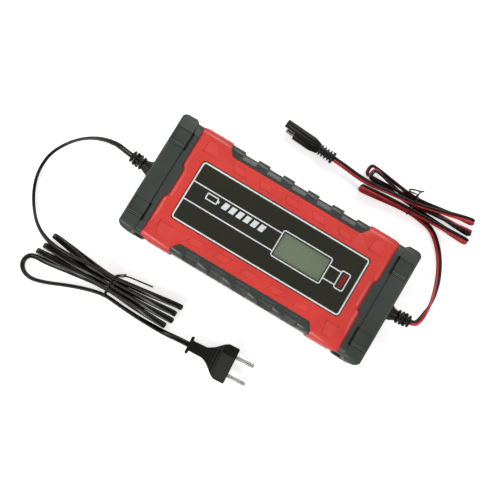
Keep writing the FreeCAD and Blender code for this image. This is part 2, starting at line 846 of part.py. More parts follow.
def make_grip(name, sign):
    """A rubber grip in the recess of one long side, with five finger recesses."""
    half = recess_length - S.fit_gap
    face = half_shell - S.grip_set_back
    inner = recess_wall + S.fit_gap
    start, end = (inner, face) if sign > 0 else (-face, -inner)
    far_corners = [
        (half, face), (-half, face), (-half, slant_start, 2.0),
        (-half + S.grip_slant_run, inner, 2.0), (half - S.grip_slant_run, inner, 2.0),
        (half, slant_start, 2.0)]
    corners = (far_corners if sign > 0 else
               [(c[0], -c[1]) + tuple(c[2:]) for c in reversed(far_corners)])
    plan = solid_from("plan", name + "_plan", corners, S.case_foot, S.boot_height)
    top = S.face_height + S.grip_proud
    far_section = [(inner, S.case_foot), (face, S.case_foot, 3.5),
                   (face, top - 1.6, 6.0), (inner, top - 0.9)]
    section = (far_section if sign > 0 else
               [(-c[0], c[1]) + tuple(c[2:]) for c in reversed(far_section)])
    bar = solid_from("section", name + "_section", section, -recess_length, recess_length)
    block = common(name + "_block", plan, bar)
    tongue = box(name + "_tongue", -(S.tongue_length / 2),
                 inner - S.tongue_depth if sign > 0 else -inner - 1.0,
                 S.parting_height - S.tongue_thickness / 2, S.tongue_length,
                 S.tongue_depth + 1.0, S.tongue_thickness)
    recesses = []
    for number in range(-2, 3):
        middle = number * S.grip_pitch
        floor, step = face - S.grip_recess_depth, face - S.grip_step_reach
        far_recess = [
            (face + 2, S.grip_recess_foot), (face + 2, S.boot_height + 1),
            (step, S.boot_height + 1), (step, top - S.grip_step_drop + 0.3),
            (floor, top - S.grip_step_drop - 0.7),
            (floor, S.grip_recess_foot + S.grip_recess_slant), (face, S.grip_recess_foot)]
        recess = (far_recess if sign > 0 else
                  [(-c[0], c[1]) for c in reversed(far_recess)])
        recesses.append(solid_from("section", "%s_recess_%d" % (name, number + 3), recess,
                                   middle - S.grip_recess_width / 2,
                                   middle + S.grip_recess_width / 2))
    return cut(name, fuse(name + "_solid", block, tongue), *recesses)


# Front panel, window, key and display

def make_panel():
    body = new_body("front_panel")
    base = S.face_height - S.panel_thickness
    pad(body, "panel_sheet", block_outline(S.panel_length, S.panel_width, S.panel_corner),
        S.panel_thickness, base)
    pocket(body, "panel_window", block_outline(
        S.window_length + 2 * S.fit_gap, S.window_width + 2 * S.fit_gap, S.window_corner,
        S.window_middle), S.panel_thickness, S.face_height)
    pocket(body, "panel_key", block_outline(
        S.key_length + 2 * S.key_gap, S.key_width + 2 * S.key_gap, S.key_corner + S.key_gap,
        S.key_middle), S.panel_thickness, S.face_height)
    return body


def make_window():
    body = new_body("display_window")
    pad(body, "window_pane", block_outline(S.window_length, S.window_width,
                                           S.window_corner - S.fit_gap, S.window_middle),
        S.window_thickness - 0.1, S.face_height - S.window_thickness)
    return body


def make_key():
    """The push button: a cap through the face, held from below by a flange."""
    body = new_body("mode_button")
    flange_top = deep_ceiling - 0.1
    flange_foot = flange_top - S.key_flange_thickness
    pad(body, "key_flange", block_outline(
        S.key_length + 2 * S.key_flange + 2 * S.key_gap,
        S.key_width + 2 * S.key_flange + 2 * S.key_gap, S.key_corner, S.key_middle),
        S.key_flange_thickness, flange_foot)
    pad(body, "key_cap", block_outline(S.key_length, S.key_width, S.key_corner, S.key_middle),
        S.face_height + S.key_rise - flange_top, flange_top)
    return body


key_flange_foot = deep_ceiling - 0.1 - S.key_flange_thickness


def make_display_board():
    body = new_body("display_board")
    pad(body, "display_board_sheet", block_outline(
        S.display_board_length, S.display_board_width, 1.0,
        S.display_board_start + S.display_board_length / 2), S.board_thickness,
        display_board_foot)
    round_pocket(body, "display_board_holes", display_screw_places,
                 S.display_screw_size + 2 * S.screw_gap, S.board_thickness, display_board_top)
    return body


def make_display():
    glass_foot = display_board_top + S.display_depth - S.display_glass_thickness
    backlight = centred_box("display_backlight", S.window_middle, 0, display_board_top,
                            S.window_length + 1.6, S.window_width + 4.0,
                            S.display_depth - S.display_glass_thickness)
    glass = centred_box("display_glass", S.window_middle, 0, glass_foot,
                        S.window_length + 0.6, S.window_width + 3.0, S.display_glass_thickness)
    return backlight, glass


def make_switch():
    """The small switch under the key: its case, and the plunger that the key pushes."""
    case = new_body("switch_body")
    pad(case, "switch_case", block_outline(S.switch_size, S.switch_size, 0.4, S.key_middle),
        S.switch_height, display_board_top)
    way = S.switch_height - 0.6
    round_pocket(case, "switch_way", [(S.key_middle, as_size(0))],
                 S.plunger_width + 2 * S.fit_gap, way, display_board_top + S.switch_height)
    foot = display_board_top + 0.6 + S.key_travel + 0.1
    plunger = rod("switch_plunger", S.key_middle, 0, foot, S.plunger_width,
                  key_flange_foot - foot)
    return case, plunger


def make_screws():
    """Screws from below through both shells, and from above into the standoffs."""
    head_foot = S.case_foot + S.head_recess_depth - S.screw_head_height
    case_screws = []
    for number, (x, y) in enumerate(screw_places):
        head = rod("case_head_%d" % number, x, y, head_foot, S.screw_head_width,
                   S.screw_head_height)
        shank = rod("case_shank_%d" % number, x, y, head_foot + S.screw_head_height - 0.5,
                    S.case_screw_size,
                    S.parting_height + S.case_screw_reach - head_foot - S.screw_head_height)
        slot = centred_box("case_slot_%d" % number, x, y, head_foot - 1, 4.0, 0.8, 2.0)
        cross = centred_box("case_cross_%d" % number, x, y, head_foot - 1, 0.8, 4.0, 2.0)
        case_screws.append(cut("case_screw_%d" % number,
                               fuse("case_screw_solid_%d" % number, head, shank), slot, cross))
    board_screws = []
    for number, (x, y) in enumerate(board_screw_places):
        head = rod("board_head_%d" % number, x, y, board_top, 5.0, 1.9)
        shank = rod("board_shank_%d" % number, x, y, deep_floor + 1.0, S.board_screw_size,
                    board_top - deep_floor)
        board_screws.append(fuse("board_screw_%d" % number, head, shank))
    display_screws = []
    for number, (x, y) in enumerate(display_screw_places):
        head = rod("display_head_%d" % number, x, y, display_board_foot - 1.4, 3.8, 1.4)
        shank = rod("display_shank_%d" % number, x, y, display_board_foot - 0.5,
                    S.display_screw_size, S.board_thickness + S.display_board_drop - 1.4)
        display_screws.append(fuse("display_screw_%d" % number, head, shank))
    return (group("case_screws", *case_screws), group("circuit_board_screws", *board_screws),
            group("display_board_screws", *display_screws))


# Circuit board and what it carries

def make_board():
    body = new_body("circuit_board")
    pad(body, "board_sheet", block_outline(S.board_length, 2 * half_board, 2.0),
        S.board_thickness, S.board_height)
    round_pocket(body, "board_holes", board_screw_places,
                 S.board_screw_size + 2 * S.screw_gap, S.board_thickness, board_top)
    return body


def heatsink(name, x, y, sign):
    """An upright plate with fins towards the outside of the case."""
    plate = centred_box(name + "_plate", x, y, board_top, S.heatsink_length, 2.5, 19.0)
    pitch = (S.heatsink_length - 4.0) / 5
    fins = [centred_box("%s_fin_%d" % (name, n), x + pitch * (n - 2.5),
                        y + sign * 2.6, board_top, 1.6, 3.0, 19.0) for n in range(6)]
    return fuse(name, plate, *fins)


def power_device(name, x, y, sign):
    """A flat power transistor on a heatsink: moulded block, metal tab and three legs."""
    block = centred_box(name + "_block", x, y + sign * -3.55, board_top + 4.0, 10.0, 4.5, 9.0)
    tab = centred_box(name + "_tab", x, y + sign * -1.95, board_top + 12.5, 10.0, 1.3, 5.5)
    legs = [centred_box("%s_leg_%d" % (name, n), x + 2.5 * (n - 1), y + sign * -3.9,
                        board_top, 0.8, 0.6, 4.5) for n in range(3)]
    return fuse(name, block, tab, *legs)


def coil_ring(name, x, y, radius, section):
    """A ring core lying on the board."""
    ring = doc.addObject("Part::Torus", name)
    ring.Radius1 = radius
    ring.Radius2 = section
    bind(ring, Placement__Base__x=x, Placement__Base__y=y,
         Placement__Base__z=board_top + section)
    return ring


def make_electronics():
    pieces = {}
    pieces["mains_terminal"] = cut(
        "mains_terminal", centred_box("mains_terminal_block", -83.0, 0.0, board_top, 9.0, 13.0, 9.5),
        *[rod("mains_terminal_way_%d" % n, -88.0, 3.2 * side, board_top + 5.4, 3.0, 6.0,
              Vector(1, 0, 0)) for n, side in enumerate((-1, 1))])
    fuse_body = rod("fuse_glass", -79.0, -26.0, board_top + 3.4, 5.0, 20.0, Vector(1, 0, 0))
    fuse_clips = [centred_box("fuse_clip_%d" % n, x, -26.0, board_top, 3.5, 6.4, 5.6)
                  for n, x in enumerate((-76.5, -61.5))]
    pieces["fuse_clips"] = cut("fuse_clips", group("fuse_clip_pair", *fuse_clips),
                               rod("fuse_clip_way", -80.0, -26.0, board_top + 3.4, 5.1, 22.0,
                                   Vector(1, 0, 0)))
    pieces["fuse"] = fuse_body
    pieces["mains_choke"] = coil_ring("mains_choke", -66.5, 5.0, 7.0, 3.6)
    pieces["interference_capacitor"] = rounded(
        "interference_capacitor",
        centred_box("interference_capacitor_block", -68.0, 26.0, board_top, 18.0, 8.0, 14.0),
        0.8, lambda edge: edge.BoundBox.ZMin > float(board_top) + 0.1)
    pieces["bridge_rectifier"] = rounded(
        "bridge_rectifier",
        centred_box("bridge_block", -48.0, 0.0, board_top, 4.2, 19.0, 13.0),
        0.6, lambda edge: edge.BoundBox.ZMin > float(board_top) + 0.1)
    pieces["mains_capacitor"] = rounded(
        "mains_capacitor", rod("mains_capacitor_can", -40.0, -27.0, board_top, 16.0, 24.0),
        1.2, lambda edge: edge.BoundBox.ZMin > float(board_top) + 20)
    core_block = centred_box("core_block", -20.0, 0.0, board_top, 30.0, 26.0, 20.0)
    core_window = centred_box("core_window", -20.0, 0.0, board_top + 4.0, 22.0, 27.0, 12.0)
    core_leg = rod("core_leg", -20.0, 0.0, board_top + 3.0, 8.5, 14.0)
    pieces["transformer_core"] = fuse(
        "transformer_core", cut("core_frame", core_block, core_window), core_leg)
    winding = rod("winding_body", -20.0, 0.0, board_top + 4.3, 20.0, 11.4)
    pieces["transformer_winding"] = cut(
        "transformer_winding", winding,
        rod("winding_bore", -20.0, 0.0, board_top + 3.0, 9.1, 14.0))
    pieces["mains_heatsink"] = heatsink("mains_heatsink", -30.0, heatsink_line, 1)
    pieces["mains_transistor"] = power_device("mains_transistor", -36.0, heatsink_line, 1)
    pieces["output_heatsink"] = heatsink("output_heatsink", 44.0, -heatsink_line, -1)
    pieces["output_rectifiers"] = group(
        "output_rectifiers", power_device("output_rectifier_1", 34.0, -heatsink_line, -1),
        power_device("output_rectifier_2", 54.0, -heatsink_line, -1))
    cans = [rounded("output_can_%d" % n, rod("output_can_body_%d" % n, 16.0 + 12.0 * n, -12.0,
                                             board_top, 10.0, 19.0),
                    0.8, lambda edge: edge.BoundBox.ZMin > float(board_top) + 15)
            for n in range(3)]
    pieces["output_capacitors"] = group("output_capacitors", *cans)
    pieces["output_choke"] = coil_ring("output_choke", 22.0, 22.0, 8.0, 4.0)
    pieces["relay"] = rounded(
        "relay", centred_box("relay_block", 70.0, -14.0, board_top, 15.0, 19.0, 15.0),
        0.8, lambda edge: edge.BoundBox.ZMin > float(board_top) + 0.1)
    pieces["control_chip"] = centred_box("control_chip", 50.0, 10.0, board_top, 9.0, 9.0, 1.5)
    pieces["board_link"] = centred_box("board_link", 60.0, 16.6, board_top, 15.0, 2.4,
                                       display_board_foot - board_top)
    pieces["output_terminal"] = cut(
        "output_terminal",
        centred_box("output_terminal_block", 83.0, 0.0, board_top, 9.0, 13.0, 9.5),
        *[rod("output_terminal_way_%d" % n, 82.0, 3.2 * side, board_top + 5.4, 3.0, 6.0,
              Vector(1, 0, 0)) for n, side in enumerate((-1, 1))])
    return pieces


# Strain reliefs

def relief_way(end, reach):
    """A point on a relief's axis, which runs straight out of the boot and then leans over."""
    arm = reach - S.relief_bend
    return Vector(end * float(half_case + S.relief_bend + arm * cosine_of(S.relief_lean)),
                  float(arm * sine_of(S.relief_lean)), float(S.relief_height))


def make_relief(name, end):
    """A moulded relief: a grommet that clasps the boot and the shell, a wide flare, and a
    leaning arm with four soft rings and short webs between them."""
    tip = half_case + S.relief_length
    bend = half_case + S.relief_bend
    neck, flange, flare = S.relief_neck / 2, S.relief_flange / 2, S.relief_flare / 2
    core = neck - 1.3
    inner_face = neck_reach - S.shell_wall - S.fit_gap
    root = turned_body(name + "_root", [
        (inner_face - S.relief_collar_thickness, 0.0), (bend, 0.0), (bend, flare - 1.2),
        (bend - 1.6, flare), (half_case, flare),
        (half_case, S.relief_groove / 2), (inner_face, S.relief_groove / 2),
        (inner_face, S.relief_collar / 2),
        (inner_face - S.relief_collar_thickness, S.relief_collar / 2)])
    first = tip - 0.8
    profile = [(bend - 2.0, 0.0), (tip, 0.0), (tip, core)]
    for number in range(4):
        foot = first - S.relief_ring_pitch * number
        size = flange - (0.7 if number == 0 else 0.0)
        profile += [(foot, core), (foot, size), (foot - S.relief_ring, size),
                    (foot - S.relief_ring, core)]
    last = first - S.relief_ring_pitch * 3 - S.relief_ring
    profile += [
        (last - 0.1, neck), (last - 2.2, neck + 0.4), (bend + 2.4, neck + 1.2),
        (bend + 1.0, flare - 1.5), (bend - 2.0, flare - 1.5)]
    webs = []
    for number, (width, height) in enumerate(
            ((4.0, flange * 2), (flange * 2, 4.0), (4.0, flange * 2))):
        foot = first - S.relief_ring_pitch * (number + 1) - 0.2
        length = S.relief_ring_pitch - S.relief_ring + 0.4
        disc = rod("%s_disc_%d" % (name, number), foot, 0, 0, S.relief_flange - 1.8, length,
                   Vector(1, 0, 0))
        bar = centred_box("%s_bar_%d" % (name, number), foot + length / 2, 0, -as_size(height) / 2,
                          length + 1, width, height)
        webs.append(common("%s_web_%d" % (name, number), disc, bar))
    arm = fuse(name + "_arm", turned_body(name + "_rings", profile), *webs)
    place(arm, bend - bend * cosine_of(S.relief_lean), -end * bend * sine_of(S.relief_lean), 0.0,
          Rotation(Vector(0, 0, 1), end * float(S.relief_lean)))
    relief = fuse(name, root, arm)
    turn = Rotation() if end > 0 else Rotation(Vector(0, 0, 1), 180)
    return place(relief, 0.0, 0.0, S.relief_height, turn)


# Cords

def arcs_and_runs(points, label):
    """Straight runs joined by tangent arcs through a list of points."""
    edges, radii = [], []
    last = points[0]
    for before, corner, after in zip(points, points[1:], points[2:]):
        back, ahead = unit(before - corner), unit(after - corner)
        turn = math.pi - back.getAngle(ahead)
        reach = 0.45 * min((before - corner).Length, (after - corner).Length)
        radius = reach / math.tan(turn / 2)
        start, end = corner + back * reach, corner + ahead * reach
        middle = corner + unit(back + ahead) * (
            radius / math.cos(turn / 2) - radius)
        edges.append(Part.LineSegment(last, start).toShape())
        edges.append(Part.Arc(start, middle, end).toShape())
        radii.append(radius)
        last = end
    edges.append(Part.LineSegment(last, points[-1]).toShape())
    print("%s: smallest arc radius %.1f, all %s"
          % (label, min(radii), " ".join("%.0f" % r for r in radii)))
    return Part.Wire(edges)


def biarc(start, leaving, end, arriving):
    """Two arcs that leave one point and reach another in given directions."""
    across = end - start
    both = leaving + arriving
    bend = 2 * (1 - leaving.dot(arriving))
    if bend < 1e-9:
        reach = across.dot(across) / (4 * across.dot(arriving))
    else:
        along = across.dot(both)
        reach = (-along + math.sqrt(along * along + bend * across.dot(across))) / bend
    joint = (start + end + (leaving - arriving) * reach) * 0.5
    edges = []
    for first, heading, last in ((start, leaving, joint), (joint, None, end)):
        if heading is None:
            heading = unit(joint - start) * 2 * unit(joint - start).dot(leaving) - leaving
        chord = last - first
        angle = heading.getAngle(chord)
        if angle < 1e-6:
            edges.append(Part.LineSegment(first, last).toShape())
            continue
        middle = first + unit(heading + unit(chord)) * (
            0.5 * chord.Length / math.cos(angle / 2))
        edges.append(Part.Arc(first, middle, last).toShape())
    return edges


def swept_tube(wire, width, label):
    """A round tube along a wire, with its volume set against section times length."""
    edge = wire.OrderedEdges[0]
    start = edge.valueAt(edge.FirstParameter)
    heading = edge.tangentAt(edge.FirstParameter)
    if (start - wire.OrderedVertexes[0].Point).Length > 1e-6:
        start = edge.valueAt(edge.LastParameter)
        heading = -edge.tangentAt(edge.LastParameter)
    ring = Part.Wire(Part.makeCircle(width / 2, start, heading))
    solid = wire.makePipeShell([ring], True, False)
    section = math.pi * width * width / 4
    print("%s: length %.1f, volume against section times length %.4f"
          % (label, wire.Length, solid.Volume / (section * wire.Length)))
    return solid


def shape_feature(name, shape):
    feature = doc.addObject("Part::Feature", name)
    feature.Shape = shape
    return feature


def route(points):
    return [Vector(*point) for point in points]


def hank_wire(strands, lead_in, lead_out):
    """A hank laid as strands, each (point, point, point) in the order the cord runs. A strand
    and the next are joined by a half turn, and each is drawn in at its middle point."""
    edges = []
    straight = Vector(lead_in)
    first = strands[0][0]
    edges.append(Part.LineSegment(first - straight, first).toShape())
    for number, strand in enumerate(strands):
        heading = Vector(1 if strand[-1].x > strand[0].x else -1, 0, 0)
        leaving = unit(straight) if number == 0 else heading
        for start, end in zip(strand, strand[1:]):
            ends_here = number + 1 == len(strands) and end is strand[-1]
            arriving = unit(Vector(lead_out)) if ends_here else heading
            edges += biarc(start, leaving, end, arriving)
            leaving = heading
        if number + 1 < len(strands):
            below, above = strand[-1], strands[number + 1][0]
            rise = above - below
            top = (below + above) * 0.5 + heading * (rise.Length / 2)
            edges += biarc(below, heading, top, unit(rise))
            edges += biarc(top, unit(rise), above, heading * -1)
    last = strands[-1][-1]
    edges.append(Part.LineSegment(last, last + Vector(lead_out)).toShape())
    return Part.Wire(edges)


def least_self_gap(wire, width, label):
    """The least gap between stretches of a hank that lie beside each other."""
    steps = max(2, int(wire.Length / 1.5))
    points = wire.discretize(steps + 1)
    pace = wire.Length / steps
    near = int(4.5 * width / pace)
    least = min((points[i] - points[j]).Length
                for i in range(len(points)) for j in range(i + near, len(points)))
    print("%s: least gap to itself %.2f" % (label, least - width))


def mains_strands():
    """Four turns of the mains cord, folded over each other on the bench. Top and bottom
    strands lie one above the other, and each turn lies nearer than the one before."""
    fold = 2 * float(S.cord_tube)
    low = 2.5
    waist_low, waist_high = 3.9, 8.9
    waist_x, waist_y, waist_step = -107.0, -102.2, 5.2
    right_x = [-44.5, -46.5, -45.5, -49.5]
    right_y = [-93.0, -101.0, -108.0, -115.4]
    left_x = [-171.5, -174.5, -177.5]
    left_y = [-99.0, -111.0, -118.6]
    strands = []
    for turn in range(4):
        y = waist_y - waist_step * turn
        if turn == 0:
            start = Vector(-127.0, -103.0, 14.8)
        else:
            start = Vector(left_x[turn - 1], left_y[turn - 1], low + fold)
        strands.append([start, Vector(waist_x, y, waist_high),
                        Vector(right_x[turn], right_y[turn], low + fold)])
        if turn < 3:
            end = Vector(left_x[turn], left_y[turn], low)
        else:
            end = Vector(-172.0, -124.4, low)
        strands.append([Vector(right_x[turn], right_y[turn], low),
                        Vector(waist_x, y, waist_low), end])
    return strands


def output_strands():
    """Three turns of the output cord. Two of its near folds lie open and leaning, one over
    the other, and the last strand runs over the top of the rest."""
    fold = 2 * float(S.cord_tube)
    low = 2.5
    waist_low, waist_high, waist_over = 3.9, 8.9, 14.2
    waist_x, waist_y, waist_step = 100.0, 96.3, 6.0
    left = [((53.0, 90.6, low), (53.0, 92.0, low + fold)),
            ((56.0, 103.5, 7.2), (56.0, 111.5, 13.0)),
            ((52.0, 106.0, low), (52.0, 115.6, 7.2))]
    right = [((158.0, 98.0, low + fold), (158.0, 98.0, low)),
             ((157.0, 107.0, low + fold), (157.0, 107.0, low)),
             ((154.0, 117.0, 4.2), (154.0, 117.0, 4.2 + fold))]
    strands = []
    for turn in range(3):
        y = waist_y + waist_step * turn
        if turn == 0:
            start = Vector(118.15, 94.53, low)
        else:
            start = Vector(*right[turn - 1][1])
        strands.append([start, Vector(waist_x, y, waist_low), Vector(*left[turn][0])])
        strands.append([Vector(*left[turn][1]), Vector(waist_x, y, waist_high),
                        Vector(*right[turn][0])])
    strands.append([Vector(*right[2][1]), Vector(waist_x, waist_y + waist_step, waist_over),
                    Vector(74.0, 100.0, 12.8)])
    return strands


MAINS_LEAD = [
    relief_way(-1, S.relief_length), relief_way(-1, S.relief_length + 8.0), (-169.5, 4.6, 23),
    (-181.5, 3.4, 19.6), (-194, -1.6, 15.4), (-206, -10.5, 11.6), (-215, -21, 8.5),
    (-220.5, -33, 6), (-223, -46, 4), (-221.5, -60, 2.6),
    (-216, -74, 2.5), (-207.5, -86.5, 2.6), (-197, -97, 5), (-184, -104, 9.5),
    (-168, -107.2, 14.8), (-151, -106, 16.6), (-138, -103, 14.8), (-131.2, -103, 14.8)]
MAINS_TAIL = [
    (-176.2, -124.4, 2.5), (-182, -124.4, 2.5), (-188.5, -127.6, 2.5), (-190, -135, 2.5),
    (-185.5, -142, 2.5), (-175, -145.4, 2.5), (-161, -141, 2.7), (-143, -133, 3.2),
    (-124, -126, 3.8), (-107, -123.4, 3.9), (-90, -122.6, 3.6), (-70, -122.2, 3.2),
    (-52, -123, 3.4), (-38, -123.4, 4.6), (-26, -121.92, 6.85), (-15.2, -121.2, 6.85)]
OUTPUT_LEAD = [
    relief_way(1, S.relief_length), relief_way(1, S.relief_length + 5.6), (160.6, 6.3, 23.9),
    (163, 12.9, 22.4), (163.3, 21.6, 19.7), (162, 31.5, 16.4), (159.6, 42, 12.7),
    (156, 53, 9.2), (151, 64, 6.4), (144.6, 74.6, 4.2), (137, 84.2, 2.9), (129, 91.5, 2.5),
    (122.2, 93.4, 2.5)]
OUTPUT_TAIL = [
    (69.95, 99.64, 11.76), (62.23, 98.94, 9.78), (50, 98.4, 7.9), (38, 99.2, 7.1),
    (26, 100.503, float(connector_height)), (12.5, 101.4, float(connector_height))]
MAINS_TIE = [
    (-72, -92.4, 1.6), (-84, -94, 3.4), (-95.5, -95.4, 7.4), (-103.6, -96.4, 11.6),
    (-107, -102, 12.6), (-107, -119.4, 12.6), (-107, -128, 7.6), (-107, -128.2, 3),
    (-107, -125, 0.7), (-107, -101, 0.7), (-107, -97.4, 2.6), (-107.6, -96.6, 7.6),
    (-109.6, -96.2, 12.4), (-113.6, -96.4, 14.6)]
OUTPUT_TIE = [
    (86, 117, 1.4), (92.4, 116, 5), (97.6, 114.4, 10), (100, 110.6, 15),
    (100, 104.8, 17.8), (100, 99.2, 17.6), (100, 92.4, 12.4), (100, 91.8, 3.6),
    (100, 94.6, 0.7), (100, 109.8, 0.7), (100, 112.8, 2.8), (101.8, 112.6, 8.4),
    (105.4, 112.4, 12.6), (110.4, 114.4, 9.6)]


def make_cord(prefix, lead, strands, tail, straight_in, straight_out):
    width = float(S.cord_tube)
    lead_tube = swept_tube(arcs_and_runs(route(lead), prefix + " lead"), width,
                           prefix + " lead")
    wire = hank_wire(strands, straight_in, straight_out)
    hank = swept_tube(wire, width, prefix + " hank")
    least_self_gap(wire, width, prefix + " hank")
    tail_tube = swept_tube(arcs_and_runs(route(tail), prefix + " tail"), width,
                           prefix + " tail")
    return (shape_feature(prefix + "_cord_lead", lead_tube),
            shape_feature(prefix + "_cord_hank", hank),
            shape_feature(prefix + "_cord_tail", tail_tube))


def make_tie(name, points):
    width = float(S.tie_wire)
    wire = arcs_and_runs(route(points), name)
    return shape_feature(name, swept_tube(wire, width, name))


def make_cores(name, end):
    """The two insulated cores between a strain relief and its terminal block."""
    width = float(S.core_width)
    inner_end = float(neck_reach - S.shell_wall - S.fit_gap - S.relief_collar_thickness)
    high, low = float(S.relief_height), float(board_top) + 5.4
    cores = []
    for number, side in enumerate((-1, 1)):
        points = [(inner_end, 1.6 * side, high), (inner_end - 4, 1.6 * side, high),
                  (inner_end - 10, 2.2 * side, high - 2.5), (inner_end - 16, 3.0 * side, low + 1.5),
                  (inner_end - 21, 3.2 * side, low), (86.8, 3.2 * side, low)]
        wire = arcs_and_runs(route([(end * x, y, z) for x, y, z in points]),
                             "%s %d" % (name, number))
        cores.append(shape_feature("%s_%d" % (name, number),
                                   swept_tube(wire, width, "%s %d" % (name, number))))
    return group(name, *cores)


# Mains plug

def plug_frame():
    """The plug's own X axis runs from its cord end to its pins."""
    return Rotation(Vector(0, 0, 1), float(S.plug_angle))


def make_plug():
    """A flat moulded plug: a flange and slim neck, a concave flare, and a wide block."""
    body = new_body("plug_moulding")
    half_flange, half_neck_width = S.plug_flange_width / 2, S.plug_neck_width / 2
    half_width = S.plug_width / 2
    block = S.plug_body_length - S.plug_block_length
    neck_end = S.plug_flange_thickness + S.plug_neck_length
    upper = [
        (0.0, half_flange - 1.0), (0.6, half_flange), (S.plug_flange_thickness, half_flange),
        (S.plug_flange_thickness + 0.6, half_neck_width), (neck_end, half_neck_width + 0.4, 8.0),
        (neck_end + 5.5, half_neck_width + 3.4, 14.0), (block, half_width - 2.2, 4.0),
        (block + 4.0, half_width), (S.plug_body_length, half_width, 1.2)]
    lower = [(corner[0], -corner[1]) + tuple(corner[2:]) for corner in upper]
    foot = S.plug_thickness / 2
    pad(body, "plug_slab", list(reversed(upper)) + lower, S.plug_thickness, -foot)

    def skin(x):
        """Half the thickness of the flare, which grows from the neck to the block."""
        return foot - S.plug_slim * (block - x) / (block - neck_end)

    cuts = []
    for sign, side in ((1, "top"), (-1, "foot")):
        wedge = [(-1.0, sign * (foot - S.plug_slim)), (neck_end, sign * (foot - S.plug_slim)),
                 (block, sign * foot), (block, sign * (foot + 2)), (-1.0, sign * (foot + 2))]
        cuts.append(("slim_" + side, wedge))
        for number in range(4):
            x = neck_end + 1.6 + S.plug_groove_pitch * number
            floor = skin(x) - S.plug_groove_depth
            cuts.append(("groove_%s_%d" % (side, number), [
                (x, sign * floor), (x + 1.2, sign * floor), (x + 1.2, sign * (foot + 1)),
                (x, sign * (foot + 1))]))
    tools = [solid_from("side", name, corners, -half_width - 1, half_width + 1)
             for name, corners in cuts]
    bores = [rod("pin_bore_%d" % number, S.plug_body_length - S.pin_seat,
                 sign * S.pin_spacing / 2, 0, S.pin_width - 2 * S.pin_sleeve_wall,
                 S.pin_seat + 1, Vector(1, 0, 0)) for number, sign in enumerate((-1, 1))]
    plug = cut("mains_plug", body, *tools, *bores)
    return place(plug, S.plug_x, S.plug_y, S.plug_thickness / 2, plug_frame())


def in_plug(x, y):
    """A place in the bench frame from one in the plug's frame, for expressions."""
    cosine, sine = cosine_of(S.plug_angle), sine_of(S.plug_angle)
    return S.plug_x + cosine * x - sine * y, S.plug_y + sine * x + cosine * y


def make_pins():
    """Two round pins with insulating sleeves on the half next to the plug."""
    pins, sleeves = [], []
    tip = S.plug_body_length + S.pin_length
    sleeve_end = S.plug_body_length + S.pin_sleeve_length
    radius = S.pin_width / 2
    waist = radius - S.pin_sleeve_wall
    for number, sign in enumerate((-1, 1)):
        pin = turned_body("pin_%d" % number, [
            (S.plug_body_length - S.pin_seat, 0.0), (tip, 0.0), (tip, radius - 1.2),
            (tip - 1.2, radius), (sleeve_end, radius), (sleeve_end, waist),
            (S.plug_body_length - S.pin_seat, waist)])
        x, y = in_plug(as_size(0.0), sign * S.pin_spacing / 2)
        pins.append(place(pin, x, y, S.plug_thickness / 2, plug_frame()))
        sleeve = turned_body("sleeve_%d" % number, [
            (S.plug_body_length, waist), (sleeve_end, waist),
            (sleeve_end, S.pin_sleeve_width / 2), (S.plug_body_length, S.pin_sleeve_width / 2)])
        sleeves.append(place(sleeve, x, y, S.plug_thickness / 2, plug_frame()))
    return group("mains_plug_pins", *pins), group("mains_plug_pin_sleeves", *sleeves)


# Output connector

